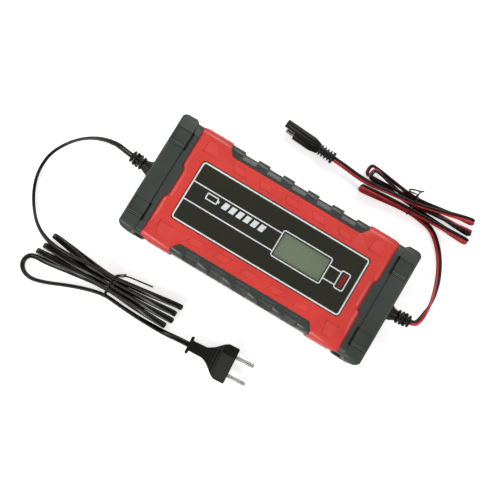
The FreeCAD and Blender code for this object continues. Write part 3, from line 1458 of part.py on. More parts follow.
def make_connector():
    """Two barrels side by side, lying rolled over on the bench. The long one shields its
    socket, the short one ends behind a bare pin, so that two of these connectors fit together
    one way round only."""
    radius = S.barrel_width / 2
    core, rib, flange = (S.connector_core_width / 2, S.connector_rib_width / 2,
                         S.connector_flange_width / 2)
    relief_end = S.connector_relief_length
    profile = [(0.0, 0.0), (relief_end, 0.0), (relief_end, core + 0.3)]
    for number in (3, 2, 1, 0):
        foot = S.connector_flange_thickness + 1.5 + S.connector_rib_pitch * number
        top = foot + S.connector_rib_thickness
        profile += [(top + 0.1, core), (top, rib), (foot, rib), (foot - 0.1, core)]
    profile += [(S.connector_flange_thickness + 0.1, core),
                (S.connector_flange_thickness, flange), (0.4, flange), (0.0, flange - 0.4)]
    relief = turned_body("connector_relief", profile)
    long_end = relief_end + S.long_barrel_length
    short_end = relief_end + S.short_barrel_length
    half_gap = S.barrel_spacing / 2
    barrels = [
        place(turned_body(name, [
            (relief_end + 0.5, 0.0), (end, 0.0), (end, radius), (relief_end + 7.5, radius),
            (relief_end + 0.5, radius - S.barrel_taper)]), 0.0, y, 0.0)
        for name, end, y in (("long_barrel", long_end, -half_gap),
                             ("short_barrel", short_end, half_gap))]
    side = half_gap + 0.6 * radius
    hood = solid_from("plan", "connector_hood", [
        (relief_end - 1.0, -core - 0.2), (relief_end + 6.5, -side, 9.0),
        (short_end - 8.0, -side), (short_end - 2.0, -half_gap),
        (short_end - 2.0, half_gap), (short_end - 8.0, side),
        (relief_end + 6.5, side, 9.0), (relief_end - 1.0, core + 0.2)],
        -radius + 0.9, radius - 0.9)
    moulding = fuse("connector_moulding", relief, *barrels, hood)
    socket_depth = S.socket_length + S.socket_set_back
    socket_width = S.contact_width + 2 * S.contact_wall + 2 * S.contact_gap
    socket_way = rod("socket_way", long_end - socket_depth, -half_gap, 0.0, socket_width,
                     socket_depth + 1.0, Vector(1, 0, 0))
    pin_way = rod("pin_way", short_end - S.contact_seat, half_gap, 0.0,
                  S.contact_width - 2 * S.contact_seat_step, S.contact_seat + 1.0,
                  Vector(1, 0, 0))
    body = cut("output_connector", moulding, socket_way, pin_way)
    bare = S.contact_width / 2
    seat = bare - S.contact_seat_step
    pin = turned_body("output_connector_pin", [
        (short_end - S.contact_seat, 0.0), (short_end + S.contact_length, 0.0),
        (short_end + S.contact_length, bare - 1.0),
        (short_end + S.contact_length - 1.0, bare), (short_end, bare), (short_end, seat),
        (short_end - S.contact_seat, seat)])
    socket = turned_body("output_connector_socket", [
        (long_end - socket_depth, 0.0), (long_end - socket_depth + 1.0, 0.0),
        (long_end - socket_depth + 1.0, S.contact_width / 2 + 0.1),
        (long_end - S.socket_set_back, S.contact_width / 2 + 0.1),
        (long_end - S.socket_set_back, S.contact_width / 2 + S.contact_wall),
        (long_end - socket_depth, S.contact_width / 2 + S.contact_wall)])
    turn = Rotation(Vector(0, 0, 1), float(S.connector_angle)) * Rotation(
        Vector(1, 0, 0), -float(S.connector_roll))
    cosine, sine = cosine_of(S.connector_angle), sine_of(S.connector_angle)
    level = cosine_of(S.connector_roll)
    place(body, S.connector_x, S.connector_y, connector_height, turn)
    for contact, y in ((pin, half_gap), (socket, -half_gap)):
        place(contact, S.connector_x - sine * y * level, S.connector_y + cosine * y * level,
              connector_height - y * sine_of(S.connector_roll), turn)
    return body, pin, socket


NODES = {}


def keep(name, thing):
    thing.Label = name
    NODES[name] = thing


keep("top_shell", make_top_shell())
keep("bottom_shell", make_bottom_shell())
for end_name, end_sign in ENDS:
    keep(end_name + "_end_boot", make_boot(end_name + "_end_boot", end_sign))
for side_name, side_sign in SIDES:
    keep(side_name + "_side_grip", make_grip(side_name + "_side_grip", side_sign))
keep("front_panel", make_panel())
keep("display_window", make_window())
keep("mode_button", make_key())
keep("display_board", make_display_board())
for piece_name, piece in zip(("display_backlight", "display_glass"), make_display()):
    keep(piece_name, piece)
for piece_name, piece in zip(("switch_body", "switch_plunger"), make_switch()):
    keep(piece_name, piece)
for piece_name, piece in zip(("case_screws", "circuit_board_screws", "display_board_screws"),
                             make_screws()):
    keep(piece_name, piece)
keep("circuit_board", make_board())
for piece_name, piece in make_electronics().items():
    keep(piece_name, piece)
for end_name, end_sign in ENDS:
    keep(end_name + "_strain_relief", make_relief(end_name + "_strain_relief", end_sign))
    keep(end_name + "_cores", make_cores(end_name + "_cores", end_sign))
for cord_name, made in (
        ("mains", make_cord("mains", MAINS_LEAD, mains_strands(), MAINS_TAIL,
                            (4.2, 0, 0), (-4.2, 0, 0))),
        ("output", make_cord("output", OUTPUT_LEAD, output_strands(), OUTPUT_TAIL,
                             (-4.05, 1.13, 0), (-4.05, -0.36, -1.04)))):
    for part_name, piece in zip(("lead", "hank", "tail"), made):
        keep("%s_cord_%s" % (cord_name, part_name), piece)
keep("mains_cord_tie", make_tie("mains_cord_tie", MAINS_TIE))
keep("output_cord_tie", make_tie("output_cord_tie", OUTPUT_TIE))
keep("mains_plug", make_plug())
for piece_name, piece in zip(("mains_plug_pins", "mains_plug_pin_sleeves"), make_pins()):
    keep(piece_name, piece)
for piece_name, piece in zip(("output_connector", "output_connector_pin",
                              "output_connector_socket"), make_connector()):
    keep(piece_name, piece)

doc.recompute()


def check_and_write():
    """Stop on a failed feature or a bad shape, and write each node."""
    for thing in doc.Objects:
        for state in thing.State:
            if state in ("Invalid", "Error"):
                raise RuntimeError("%s is %s" % (thing.Name, state))
    os.makedirs(PARTS_FOLDER, exist_ok=True)
    for name, thing in NODES.items():
        shape = thing.Shape
        if shape.isNull() or not shape.isValid() or not shape.Solids:
            raise RuntimeError("bad shape in " + name)
        shape.exportStep("%s/%s.step" % (PARTS_FOLDER, name))
        print("%-28s %2d solids, volume %.0f" % (name, len(shape.Solids), shape.Volume))


check_and_write()
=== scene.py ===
import math

import bmesh
import bpy
import numpy as np
from mathutils import Matrix, Vector


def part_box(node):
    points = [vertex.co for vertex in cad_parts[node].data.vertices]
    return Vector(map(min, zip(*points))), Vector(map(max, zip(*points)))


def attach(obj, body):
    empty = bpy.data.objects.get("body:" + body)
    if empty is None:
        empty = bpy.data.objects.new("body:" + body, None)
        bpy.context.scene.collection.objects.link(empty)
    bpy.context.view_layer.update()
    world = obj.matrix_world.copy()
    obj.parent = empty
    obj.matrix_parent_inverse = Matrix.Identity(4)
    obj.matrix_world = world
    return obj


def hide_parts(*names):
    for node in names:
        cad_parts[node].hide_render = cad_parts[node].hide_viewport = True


bl_info = {
    "name": "Battery Charger Look",
    "version": (1, 0, 0),
    "blender": (4, 5, 0),
    "location": "View3D > Sidebar > Charger",
    "description": "Finishes, prints and cords of a battery charger for cars",
    "category": "Object",
}

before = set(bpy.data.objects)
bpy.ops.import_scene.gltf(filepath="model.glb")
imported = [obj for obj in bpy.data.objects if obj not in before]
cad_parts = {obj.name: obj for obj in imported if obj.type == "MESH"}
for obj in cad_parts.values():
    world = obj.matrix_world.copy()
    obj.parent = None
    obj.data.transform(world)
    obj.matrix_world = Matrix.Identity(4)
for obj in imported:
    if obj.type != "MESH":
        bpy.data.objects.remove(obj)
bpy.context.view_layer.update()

MM = 0.001
CASE = "case"


def millimetres(*values):
    """Lengths given in millimetres, in metres."""
    return tuple(value * MM for value in values)


# Heights over the bench: each thin plate's foot and top

FACE = 46.0 * MM
INK_SINK = 0.02 * MM
# Tile and shield plates, a lighter red than the case as painted sheen
TILE_HEIGHTS = millimetres(44.9, 45.0)
SHIELD_HEIGHTS = millimetres(44.5, 44.6)
# Plates of painted shade in the boots' slots
SLOT_HEIGHTS = millimetres(44.72, 44.78)
# Strips of painted highlight on the tops of the boots' ribs
RIB_HEIGHTS = millimetres(47.98, 48.02)

# Outlines on the top shell and the boots, in millimetres from the middle of the case

TILE_PITCH = 27.8
TILE_OUTLINE = ((-4.2, 34.8), (8.3, 34.8), (4.2, 41.2), (-8.3, 41.2))
SHIELD_MIDDLE = 87.2
SHIELD_OUTLINE = ((-6.6, 36.9), (6.6, 36.9), (5.5, 46.4), (3.2, 49.6), (-3.2, 49.6),
                  (-5.5, 46.4))
SLOT_SPAN = (107.25, 109.55)
RIB_SPAN = (110.0, 123.6)
REST_STARTS = (28.5, -45.5)
REST_LENGTH = 17.2
REST_MARGIN = 0.5
RIB_EDGES = (0.95, 2.45)
RIB_WIDTH = 0.5

# The front panel: corners of its printed frames, the levels of its lines, and the charge gauge

PANEL_FRAME = millimetres(-86.75, -28.75, 86.75, 28.75)
DISPLAY_FRAME = millimetres(7.0, -13.0, 57.8, 13.0)
KEY_FRAME = millimetres(70.4, -8.5, 79.2, 8.5)
PANEL_CORNER, DISPLAY_CORNER, KEY_CORNER = millimetres(2.5, 2.0, 1.5)
PANEL_LEVELS = millimetres(9.3, -9.0)
KEY_LEVELS = millimetres(6.5, -6.5)
BATTERY_FRAME = millimetres(-69.3, 0.8, -58.3, 6.3)
BATTERY_CORNER, BATTERY_LINE = millimetres(0.8, 1.2)
BATTERY_CAP = millimetres(-57.6, 2.2, -56.4, 4.9)
GAUGE_BARS = 6
GAUGE_START = -53.0
GAUGE_PITCH = 7.6
GAUGE_OUTLINE = ((0.0, 0.3), (5.2, 0.3), (6.8, 6.9), (1.6, 6.9))
KEY_STEPS = 4
KEY_STEP_PITCH, KEY_STEP_REACH, KEY_STEP_RISE = millimetres(3.4, 1.7, 1.0)
KEY_STEP_CORNER, KEY_STEP_LINE = millimetres(0.4, 0.55)

# The plug's grip face, from the cord's end, and the section of the ties

PLUG_TURN = math.radians(3.8)
PLUG_GRIP = ((31.6, 8.0), (44.9, 8.0), (44.9, -16.6), (35.2, -16.6), (31.6, -14.6))
TIE_WIDTH, TIE_THICKNESS, TIE_STEP = millimetres(1.5, 0.9, 0.7)

# The camera, in millimetres

CAMERA_PLACE = (-0.3, -79.3, 763.1)
CAMERA_RIGHT = (0.8577, 0.51317, 0.03164)
CAMERA_UP = (-0.51396, 0.85417, 0.07899)


# Settings

class ChargerStageSettings(bpy.types.PropertyGroup):
    """The camera, the lamps and the floor."""

    lens: bpy.props.FloatProperty(
        name="Lens", description="Focal length in millimetres on a 36 mm sensor",
        default=57.49, min=1.0)
    key_power: bpy.props.FloatProperty(
        name="Key", description="Power of the long soft lamp on the near side", default=11.5,
        min=0.0, unit="POWER")
    fill_power: bpy.props.FloatProperty(
        name="Fill", description="Power of the soft lamp on the far side", default=7.0, min=0.0,
        unit="POWER")
    rim_power: bpy.props.FloatProperty(
        name="Rim", description="Power of the narrow lamps that draw the edges", default=2.8,
        min=0.0, unit="POWER")
    world_light: bpy.props.FloatProperty(
        name="Ambient", description="Strength of the even light from low all around",
        default=0.70, min=0.0)
    zenith_light: bpy.props.FloatProperty(
        name="Zenith", description="Strength of the even light from straight above",
        default=0.12, min=0.0)
    fade_height: bpy.props.FloatProperty(
        name="Fade", description="Height at which the even light has faded to the zenith's",
        default=0.55, min=0.01, max=1.0)
    floor_glow: bpy.props.FloatProperty(
        name="Floor glow", description="Strength of the floor's glow as the camera sees it",
        default=0.62, min=0.0)
    floor_size: bpy.props.FloatProperty(
        name="Floor", description="Width of the floor", default=6.0, min=0.5, unit="LENGTH",
        subtype="DISTANCE")


class ChargerFinishSettings(bpy.types.PropertyGroup):
    """Edges and colours of the case."""

    edge: bpy.props.FloatProperty(
        name="Moulded edge", description="Rounding of moulded plastic edges", default=0.35 * MM,
        min=0.0, unit="LENGTH", subtype="DISTANCE")
    rubber_edge: bpy.props.FloatProperty(
        name="Rubber edge", description="Rounding of rubber edges", default=0.6 * MM, min=0.0,
        unit="LENGTH", subtype="DISTANCE")
    red: bpy.props.FloatVectorProperty(
        name="Case", description="Colour of the case", subtype="COLOR",
        default=(0.76, 0.058, 0.046), min=0.0, max=1.0)
    # Lighter than the case: painted sheen on the tiles, which are also glossier.
    tile: bpy.props.FloatVectorProperty(
        name="Tile", description="Colour of the polished tiles in the case", subtype="COLOR",
        default=(0.80, 0.078, 0.064), min=0.0, max=1.0)
    rubber: bpy.props.FloatVectorProperty(
        name="Rubber", description="Colour of boots and grips", subtype="COLOR",
        default=(0.050, 0.058, 0.051), min=0.0, max=1.0)
    panel: bpy.props.FloatVectorProperty(
        name="Panel", description="Colour of the front panel", subtype="COLOR",
        default=(0.026, 0.0265, 0.017), min=0.0, max=1.0)
    print_ink: bpy.props.FloatVectorProperty(
        name="Ink", description="Colour of the printed lines", subtype="COLOR",
        default=(0.80, 0.84, 0.84), min=0.0, max=1.0)


class ChargerPrintSettings(bpy.types.PropertyGroup):
    """The lines printed on the front panel."""

    line: bpy.props.FloatProperty(
        name="Line", description="Width of the outer frame line", default=1.4 * MM,
        min=0.0, unit="LENGTH", subtype="DISTANCE")
    fine_line: bpy.props.FloatProperty(
        name="Fine line", description="Width of the inner lines", default=1.1 * MM,
        min=0.0, unit="LENGTH", subtype="DISTANCE")
    ink_height: bpy.props.FloatProperty(
        name="Ink height", description="Thickness of the ink", default=0.04 * MM, min=0.0,
        unit="LENGTH", subtype="DISTANCE")


class ChargerCordSettings(bpy.types.PropertyGroup):
    """Sections of the two cords."""

    mains_width: bpy.props.FloatProperty(
        name="Mains width", description="Width of the flat mains cord", default=5.5 * MM,
        min=0.0, unit="LENGTH", subtype="DISTANCE")
    mains_thickness: bpy.props.FloatProperty(
        name="Mains thickness", description="Thickness of the flat mains cord",
        default=3.3 * MM, min=0.0, unit="LENGTH", subtype="DISTANCE")
    core_width: bpy.props.FloatProperty(
        name="Output core", description="Width of one core of the output cord",
        default=2.9 * MM, min=0.0, unit="LENGTH", subtype="DISTANCE")
    step: bpy.props.FloatProperty(
        name="Step", description="Spacing of rings along a cord", default=1.1 * MM,
        min=0.1 * MM, unit="LENGTH", subtype="DISTANCE")


# Materials

class Nodes:
    """A material's node tree with short calls to add and join nodes."""

    def __init__(self, name):
        self.material = bpy.data.materials.new(name)
        self.material.use_nodes = True
        self.tree = self.material.node_tree
        self.shader = self.tree.nodes["Principled BSDF"]
        self.place = self.add("ShaderNodeTexCoord").outputs["Object"]

    def add(self, kind):
        return self.tree.nodes.new(kind)

    def join(self, source, target):
        self.tree.links.new(source, target)

    def noise(self, scale, detail=3.0, roughness=0.5, stretch=None):
        node = self.add("ShaderNodeTexNoise")
        node.inputs["Scale"].default_value = scale
        node.inputs["Detail"].default_value = detail
        node.inputs["Roughness"].default_value = roughness
        if stretch is None:
            self.join(self.place, node.inputs["Vector"])
        else:
            mapping = self.add("ShaderNodeMapping")
            mapping.inputs["Scale"].default_value = stretch
            self.join(self.place, mapping.inputs["Vector"])
            self.join(mapping.outputs["Vector"], node.inputs["Vector"])
        return node.outputs["Fac"]

    def ramp(self, fac, low, high):
        """A colour that goes from low to high over the middle of the noise's range."""
        node = self.add("ShaderNodeValToRGB")
        node.color_ramp.elements[0].position = 0.35
        node.color_ramp.elements[1].position = 0.65
        node.color_ramp.elements[0].color = (*low, 1.0)
        node.color_ramp.elements[1].color = (*high, 1.0)
        self.join(fac, node.inputs["Fac"])
        return node.outputs["Color"]

    def spread(self, fac, low, high):
        node = self.add("ShaderNodeMapRange")
        node.inputs["To Min"].default_value = low
        node.inputs["To Max"].default_value = high
        self.join(fac, node.inputs["Value"])
        return node.outputs["Result"]

    def bump(self, height, distance, strength):
        node = self.add("ShaderNodeBump")
        node.inputs["Strength"].default_value = strength
        node.inputs["Distance"].default_value = distance
        self.join(height, node.inputs["Height"])
        return node.outputs["Normal"]

    def set(self, **values):
        for key, value in values.items():
            self.shader.inputs[key.replace("_", " ")].default_value = value


def shade(colour, factor):
    return tuple(min(1.0, max(0.0, channel * factor)) for channel in colour)


def moulded(name, colour, roughness=0.4, grain=2600.0, depth=0.02 * MM, coat=0.0, spread=0.07,
            gloss=0.5):
    """Moulded plastic or rubber: a fine eroded grain and a slight, slow colour drift."""
    nodes = Nodes(name)
    slow = nodes.noise(scale=28.0, detail=4.0)
    colours = nodes.ramp(slow, shade(colour, 1 - spread), shade(colour, 1 + spread))
    nodes.join(colours, nodes.shader.inputs["Base Color"])
    fine = nodes.noise(scale=grain, detail=2.0, roughness=0.6)
    nodes.join(nodes.spread(fine, low=roughness - 0.06, high=roughness + 0.06),
               nodes.shader.inputs["Roughness"])
    nodes.join(nodes.bump(fine, distance=depth, strength=0.6), nodes.shader.inputs["Normal"])
    nodes.set(Specular_IOR_Level=gloss)
    if coat:
        nodes.set(Coat_Weight=coat, Coat_Roughness=0.12)
    return nodes.material


def metal(name, colour, roughness=0.25, brushed=None):
    """Bare metal with light wear, brushed along one direction where asked."""
    nodes = Nodes(name)
    slow = nodes.noise(scale=60.0, detail=4.0)
    nodes.join(nodes.ramp(slow, shade(colour, 0.86), colour), nodes.shader.inputs["Base Color"])
    fine = nodes.noise(scale=1800.0, detail=3.0, roughness=0.6,
                       stretch=brushed or (1.0, 1.0, 1.0))
    nodes.join(nodes.spread(fine, low=roughness - 0.07, high=roughness + 0.1),
               nodes.shader.inputs["Roughness"])
    nodes.join(nodes.bump(fine, distance=0.01 * MM, strength=0.3),
               nodes.shader.inputs["Normal"])
    nodes.set(Metallic=1.0)
    return nodes.material


def vinyl(name, colour, roughness=0.22, gloss=0.4):
    """Glossy soft vinyl of a cord, faintly rippled along its length."""
    nodes = Nodes(name)
    slow = nodes.noise(scale=90.0, detail=4.0)
    nodes.join(nodes.ramp(slow, shade(colour, 0.8), shade(colour, 1.3)),
               nodes.shader.inputs["Base Color"])
    ripple = nodes.noise(scale=160.0, detail=2.0)
    wear_and_sheen = nodes.noise(scale=260.0, detail=2.0)
    nodes.join(nodes.spread(wear_and_sheen, low=roughness - 0.03, high=roughness + 0.05),
               nodes.shader.inputs["Roughness"])
    nodes.join(nodes.bump(ripple, distance=0.06 * MM, strength=0.3),
               nodes.shader.inputs["Normal"])
    nodes.set(Specular_IOR_Level=gloss)
    return nodes.material


def clear(name, colour, opacity=0.12, roughness=0.06):
    """A thin clear moulding with a faint tint and a few light scuffs."""
    nodes = Nodes(name)
    scuff = nodes.noise(scale=240.0, detail=3.0, roughness=0.6, stretch=(1.0, 6.0, 1.0))
    nodes.join(nodes.spread(scuff, low=roughness, high=roughness + 0.05),
               nodes.shader.inputs["Roughness"])
    nodes.join(nodes.ramp(scuff, colour, shade(colour, 1.04)), nodes.shader.inputs["Base Color"])
    nodes.set(Alpha=opacity, IOR=1.47)
    return nodes.material


# Mesh helpers

def from_bmesh(name, shape, *materials):
    mesh = bpy.data.meshes.new(name)
    bmesh.ops.recalc_face_normals(shape, faces=shape.faces)
    shape.to_mesh(mesh)
    shape.free()
    thing = bpy.data.objects.new(name, mesh)
    bpy.context.scene.collection.objects.link(thing)
    for material in materials:
        mesh.materials.append(material)
    return thing


def on_case(thing):
    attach(thing, CASE)
    return thing


def soften(thing, width):
    """Round the edges of a CAD node as it is shown, without touching its mesh."""
    weld = thing.modifiers.new("Weld", "WELD")
    weld.merge_threshold = 0.002 * MM
    flat = thing.modifiers.new("Flat faces", "DECIMATE")
    flat.decimate_type = "DISSOLVE"
    flat.angle_limit = math.radians(1.2)
    bevel = thing.modifiers.new("Edges", "BEVEL")
    bevel.width = width
    bevel.segments = 2
    bevel.limit_method = "ANGLE"
    bevel.angle_limit = math.radians(32.0)
    bevel.use_clamp_overlap = True
    bevel.harden_normals = True
    return thing


def dress(node, material):
    """Give a CAD node its material."""
    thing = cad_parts[node]
    thing.data.materials.clear()
    thing.data.materials.append(material)
    return thing


def rounded_rectangle(x0, y0, x1, y1, radius, steps=6):
    """Corner points of a rectangle with rounded corners, anticlockwise."""
    points = []
    for cx, cy, start in ((x1 - radius, y1 - radius, 0), (x0 + radius, y1 - radius, 90),
                          (x0 + radius, y0 + radius, 180), (x1 - radius, y0 + radius, 270)):
        for step in range(steps + 1):
            angle = math.radians(start + 90.0 * step / steps)
            points.append((cx + radius * math.cos(angle), cy + radius * math.sin(angle)))
    return points


def add_plate(shape, outline, foot, top):
    """A thin closed plate with the given outline."""
    low = [shape.verts.new((x, y, foot)) for x, y in outline]
    high = [shape.verts.new((x, y, top)) for x, y in outline]
    shape.faces.new(low)
    shape.faces.new(high)
    for i in range(len(outline)):
        j = (i + 1) % len(outline)
        shape.faces.new((low[i], low[j], high[j], high[i]))


def add_ring(shape, outer, inner, foot, top):
    """A thin closed ring between two outlines with as many points each."""
    rows = [[shape.verts.new((x, y, z)) for x, y in outline]
            for outline, z in ((outer, foot), (outer, top), (inner, top), (inner, foot))]
    for i in range(len(outer)):
        j = (i + 1) % len(outer)
        for a, b in zip(rows, rows[1:] + rows[:1]):
            shape.faces.new((a[i], a[j], b[j], b[i]))


def frame_line(shape, x0, y0, x1, y1, radius, width, foot, top):
    """A printed rounded frame about its centre line."""
    half = width / 2
    add_ring(shape,
             rounded_rectangle(x0 - half, y0 - half, x1 + half, y1 + half, radius + half),
             rounded_rectangle(x0 + half, y0 + half, x1 - half, y1 - half,
                               max(radius - half, 0.1 * MM)), foot, top)


def bar(shape, x0, y0, x1, y1, foot, top):
    """A thin plate with straight sides."""
    add_plate(shape, [(x0, y0), (x1, y0), (x1, y1), (x0, y1)], foot, top)


# Cords

def smooth_route(name, points):
    """Points read from a smooth spline whose control points are the route in millimetres."""
    curve = bpy.data.curves.new(name, "CURVE")
    curve.dimensions = "3D"
    spline = curve.splines.new("NURBS")
    spline.points.add(len(points) - 1)
    for point, place in zip(spline.points, points):
        point.co = (place[0] * MM, place[1] * MM, place[2] * MM, 1.0)
    spline.use_endpoint_u = True
    spline.order_u = 3
    spline.resolution_u = 24
    thing = bpy.data.objects.new(name, curve)
    bpy.context.scene.collection.objects.link(thing)
    mesh = bpy.data.meshes.new_from_object(thing)
    route = np.array([tuple(v.co) for v in mesh.vertices])
    bpy.data.objects.remove(thing)
    bpy.data.meshes.remove(mesh)
    bpy.data.curves.remove(curve)
    return route


def evenly(route, step):
    """The same line with rings at even steps."""
    lengths = np.concatenate([[0.0], np.cumsum(np.linalg.norm(np.diff(route, axis=0), axis=1))])
    count = max(2, int(lengths[-1] / step) + 1)
    marks = np.linspace(0.0, lengths[-1], count)
    line = np.stack([np.interp(marks, lengths, route[:, k]) for k in range(3)], axis=1)
    return line, lengths[-1]


LEVEL_ENOUGH = 0.35
FOLLOW = 0.12
LOOK_AHEAD = 90


def frames_along(line, lean):
    """For each point of a line, the way its broad side runs and its flat side's normal. The
    broad side stays level wherever the line isn't steep, leaned by the given
    angles, and turns smoothly in between."""
    heading = np.gradient(line, axis=0)
    heading /= np.linalg.norm(heading, axis=1)[:, None]
    up = np.array([0.0, 0.0, 1.0])
    broad = np.zeros_like(line)
    level = np.cross(up, heading[0])
    level /= np.linalg.norm(level)
    turn = math.radians(lean[0])
    current = level * math.cos(turn) + np.cross(heading[0], level) * math.sin(turn)
    for index, along in enumerate(heading):
        current = current - along * np.dot(current, along)
        current /= np.linalg.norm(current)
        level = np.cross(up, along)
        flatness = np.linalg.norm(level)
        if flatness > LEVEL_ENOUGH:
            level /= flatness
            over = np.cross(along, level)
            turn = math.radians(lean[index])
            wanted = level * math.cos(turn) + over * math.sin(turn)
            if np.dot(wanted, current) < 0:
                wanted = -wanted
            current = current + FOLLOW * (wanted - current)
            current /= np.linalg.norm(current)
        broad[index] = current
    return broad, np.cross(heading, broad)


def lean_along(route_points, line):
    """The lean in degrees at each point of the line, from the route's fourth numbers."""
    controls = np.array([point[:3] for point in route_points]) * MM
    leans = np.array([point[3] if len(point) > 3 else 0.0 for point in route_points])
    marks = []
    start = 0
    for control in controls:
        span = line[start:start + LOOK_AHEAD]
        nearest = start + int(np.argmin(np.linalg.norm(span - control, axis=1)))
        marks.append(max(nearest, marks[-1] + 1 if marks else 0))
        start = marks[-1]
    return np.interp(np.arange(len(line)), marks, leans)


def add_tube(shape, line, section, broad, flat, slot=0):
    """A closed tube: section(angle) gives its offsets along the broad and the flat way."""
    rings = []
    for point, across, over in zip(line, broad, flat):
        rings.append([shape.verts.new(point + across * a + over * b) for a, b in section])
    count = len(section)
    for first, second in zip(rings, rings[1:]):
        for i in range(count):
            j = (i + 1) % count
            face = shape.faces.new((first[i], first[j], second[j], second[i]))
            face.material_index = slot
            face.smooth = True
    for ring in (rings[0], rings[-1]):
        face = shape.faces.new(ring)
        face.material_index = slot


def flat_section(width, thickness, count=20):
    """A flat twin cord's outline: two round edges and a slight waist between them."""
    radius = thickness / 2
    reach = width / 2 - radius
    flare, waist, waist_span = 1.6, 0.10, 3.2
    points = []
    for index in range(count):
        angle = 2 * math.pi * index / count
        a = math.cos(angle)
        offset = reach * math.copysign(min(1.0, abs(a) * flare), a)
        dip = 1.0 - waist * math.exp(-(a * waist_span) ** 2)
        points.append((offset + radius * a, radius * math.sin(angle) * dip))
    return points


def round_section(radius, shift, count=12):
    """A round core's outline, moved along the broad way."""
    return [(shift + radius * math.cos(2 * math.pi * i / count),
             radius * math.sin(2 * math.pi * i / count)) for i in range(count)]


MAINS_ROUTE = [
    (-150.39, 2.091, 24.5, 25), (-158.35, 2.927, 24.5, 25), (-168, 4.4, 23.3, 40),
    (-181, 2.6, 20.6, 60),
    (-194, -2.4, 16.5, 75), (-205.5, -11, 13, 75), (-214.5, -22, 9.5, 75),
    (-220.5, -33, 7, 75), (-223, -46, 4.6, 75), (-221.5, -60, 3.6, 75),
    (-216, -74, 3.4, 75), (-207.5, -86.5, 4, 75), (-197, -97, 7, 70), (-184, -104, 11.5, 60),
    (-168, -107.2, 16.5, 60), (-151, -107, 18.2, 70), (-138, -105, 17, 80),
    (-127, -104.6, 14.4, 80),
    (-107, -104.2, 9.4, 82), (-80, -101.5, 9.6, 25), (-43, -95.4, 10.9, 0),
    (-38.8, -95.4, 10.9, 0), (-38.8, -95.4, 2.5, 0), (-43, -95.4, 2.5, 0),
    (-84, -101.4, 3, -25), (-107, -104.2, 3.3, -82), (-132, -103, 3.2, -25),
    (-171.5, -99, 2.5, 0), (-175.7, -99, 2.5, 0),
    (-175.7, -99, 10.9, 0), (-171.5, -99, 10.9, 0), (-134, -106, 9.6, 25),
    (-107, -108.1, 9.4, 82), (-80, -107, 9.6, 25), (-45, -103.4, 10.9, 0),
    (-40.8, -103.4, 10.9, 0), (-40.8, -103.4, 2.5, 0), (-45, -103.4, 2.5, 0),
    (-82, -107.2, 3, -25), (-107, -108.1, 3.3, -82), (-134, -108.4, 3.2, -25),
    (-174.5, -111, 2.5, 0), (-178.7, -111, 2.5, 0), (-178.7, -111, 10.9, 0),
    (-174.5, -111, 10.9, 0), (-136, -112.4, 9.6, 25),
    (-107, -112, 9.4, 82), (-80, -112.4, 9.6, 25), (-44, -110.4, 10.9, 0),
    (-39.8, -110.4, 10.9, 0), (-39.8, -110.4, 2.5, 0), (-44, -110.4, 2.5, 0),
    (-80, -112.6, 3, -25), (-107, -112, 3.3, -82), (-136, -113.4, 3.2, -25),
    (-177.5, -118.6, 2.5, 0), (-181.7, -118.6, 2.5, 0), (-181.7, -118.6, 10.9, 0),
    (-177.5, -118.6, 10.9, 0), (-138, -117.6, 9.6, 25), (-107, -115.9, 9.4, 82),
    (-80, -117.6, 9.6, 25), (-48, -117.8, 10.9, 0), (-43.8, -117.8, 10.9, 0),
    (-43.8, -117.8, 2.5, 0), (-48, -117.8, 2.5, 0), (-80, -117.2, 3, -25),
    (-107, -115.9, 3.3, -82), (-138, -119, 3.2, -25), (-172, -124.4, 2.8, -30),
    (-182, -124.4, 3.1, -60), (-188.5, -127.6, 3.2, -75),
    (-190, -135, 3.2, -75), (-185.5, -142, 3.2, -75), (-175, -145, 3.2, -75),
    (-161, -141, 3.3, -75), (-143, -133, 3.5, -75), (-124, -126, 3.8, -75),
    (-107, -122, 3.9, -75), (-90, -123.4, 3.8, -75), (-70, -124.4, 3.6, -60),
    (-52, -124.2, 3.6, -40), (-38, -123.6, 4.8, -20), (-26, -121.92, 6.85, 0),
    (-15.2, -121.2, 6.85, 0)]
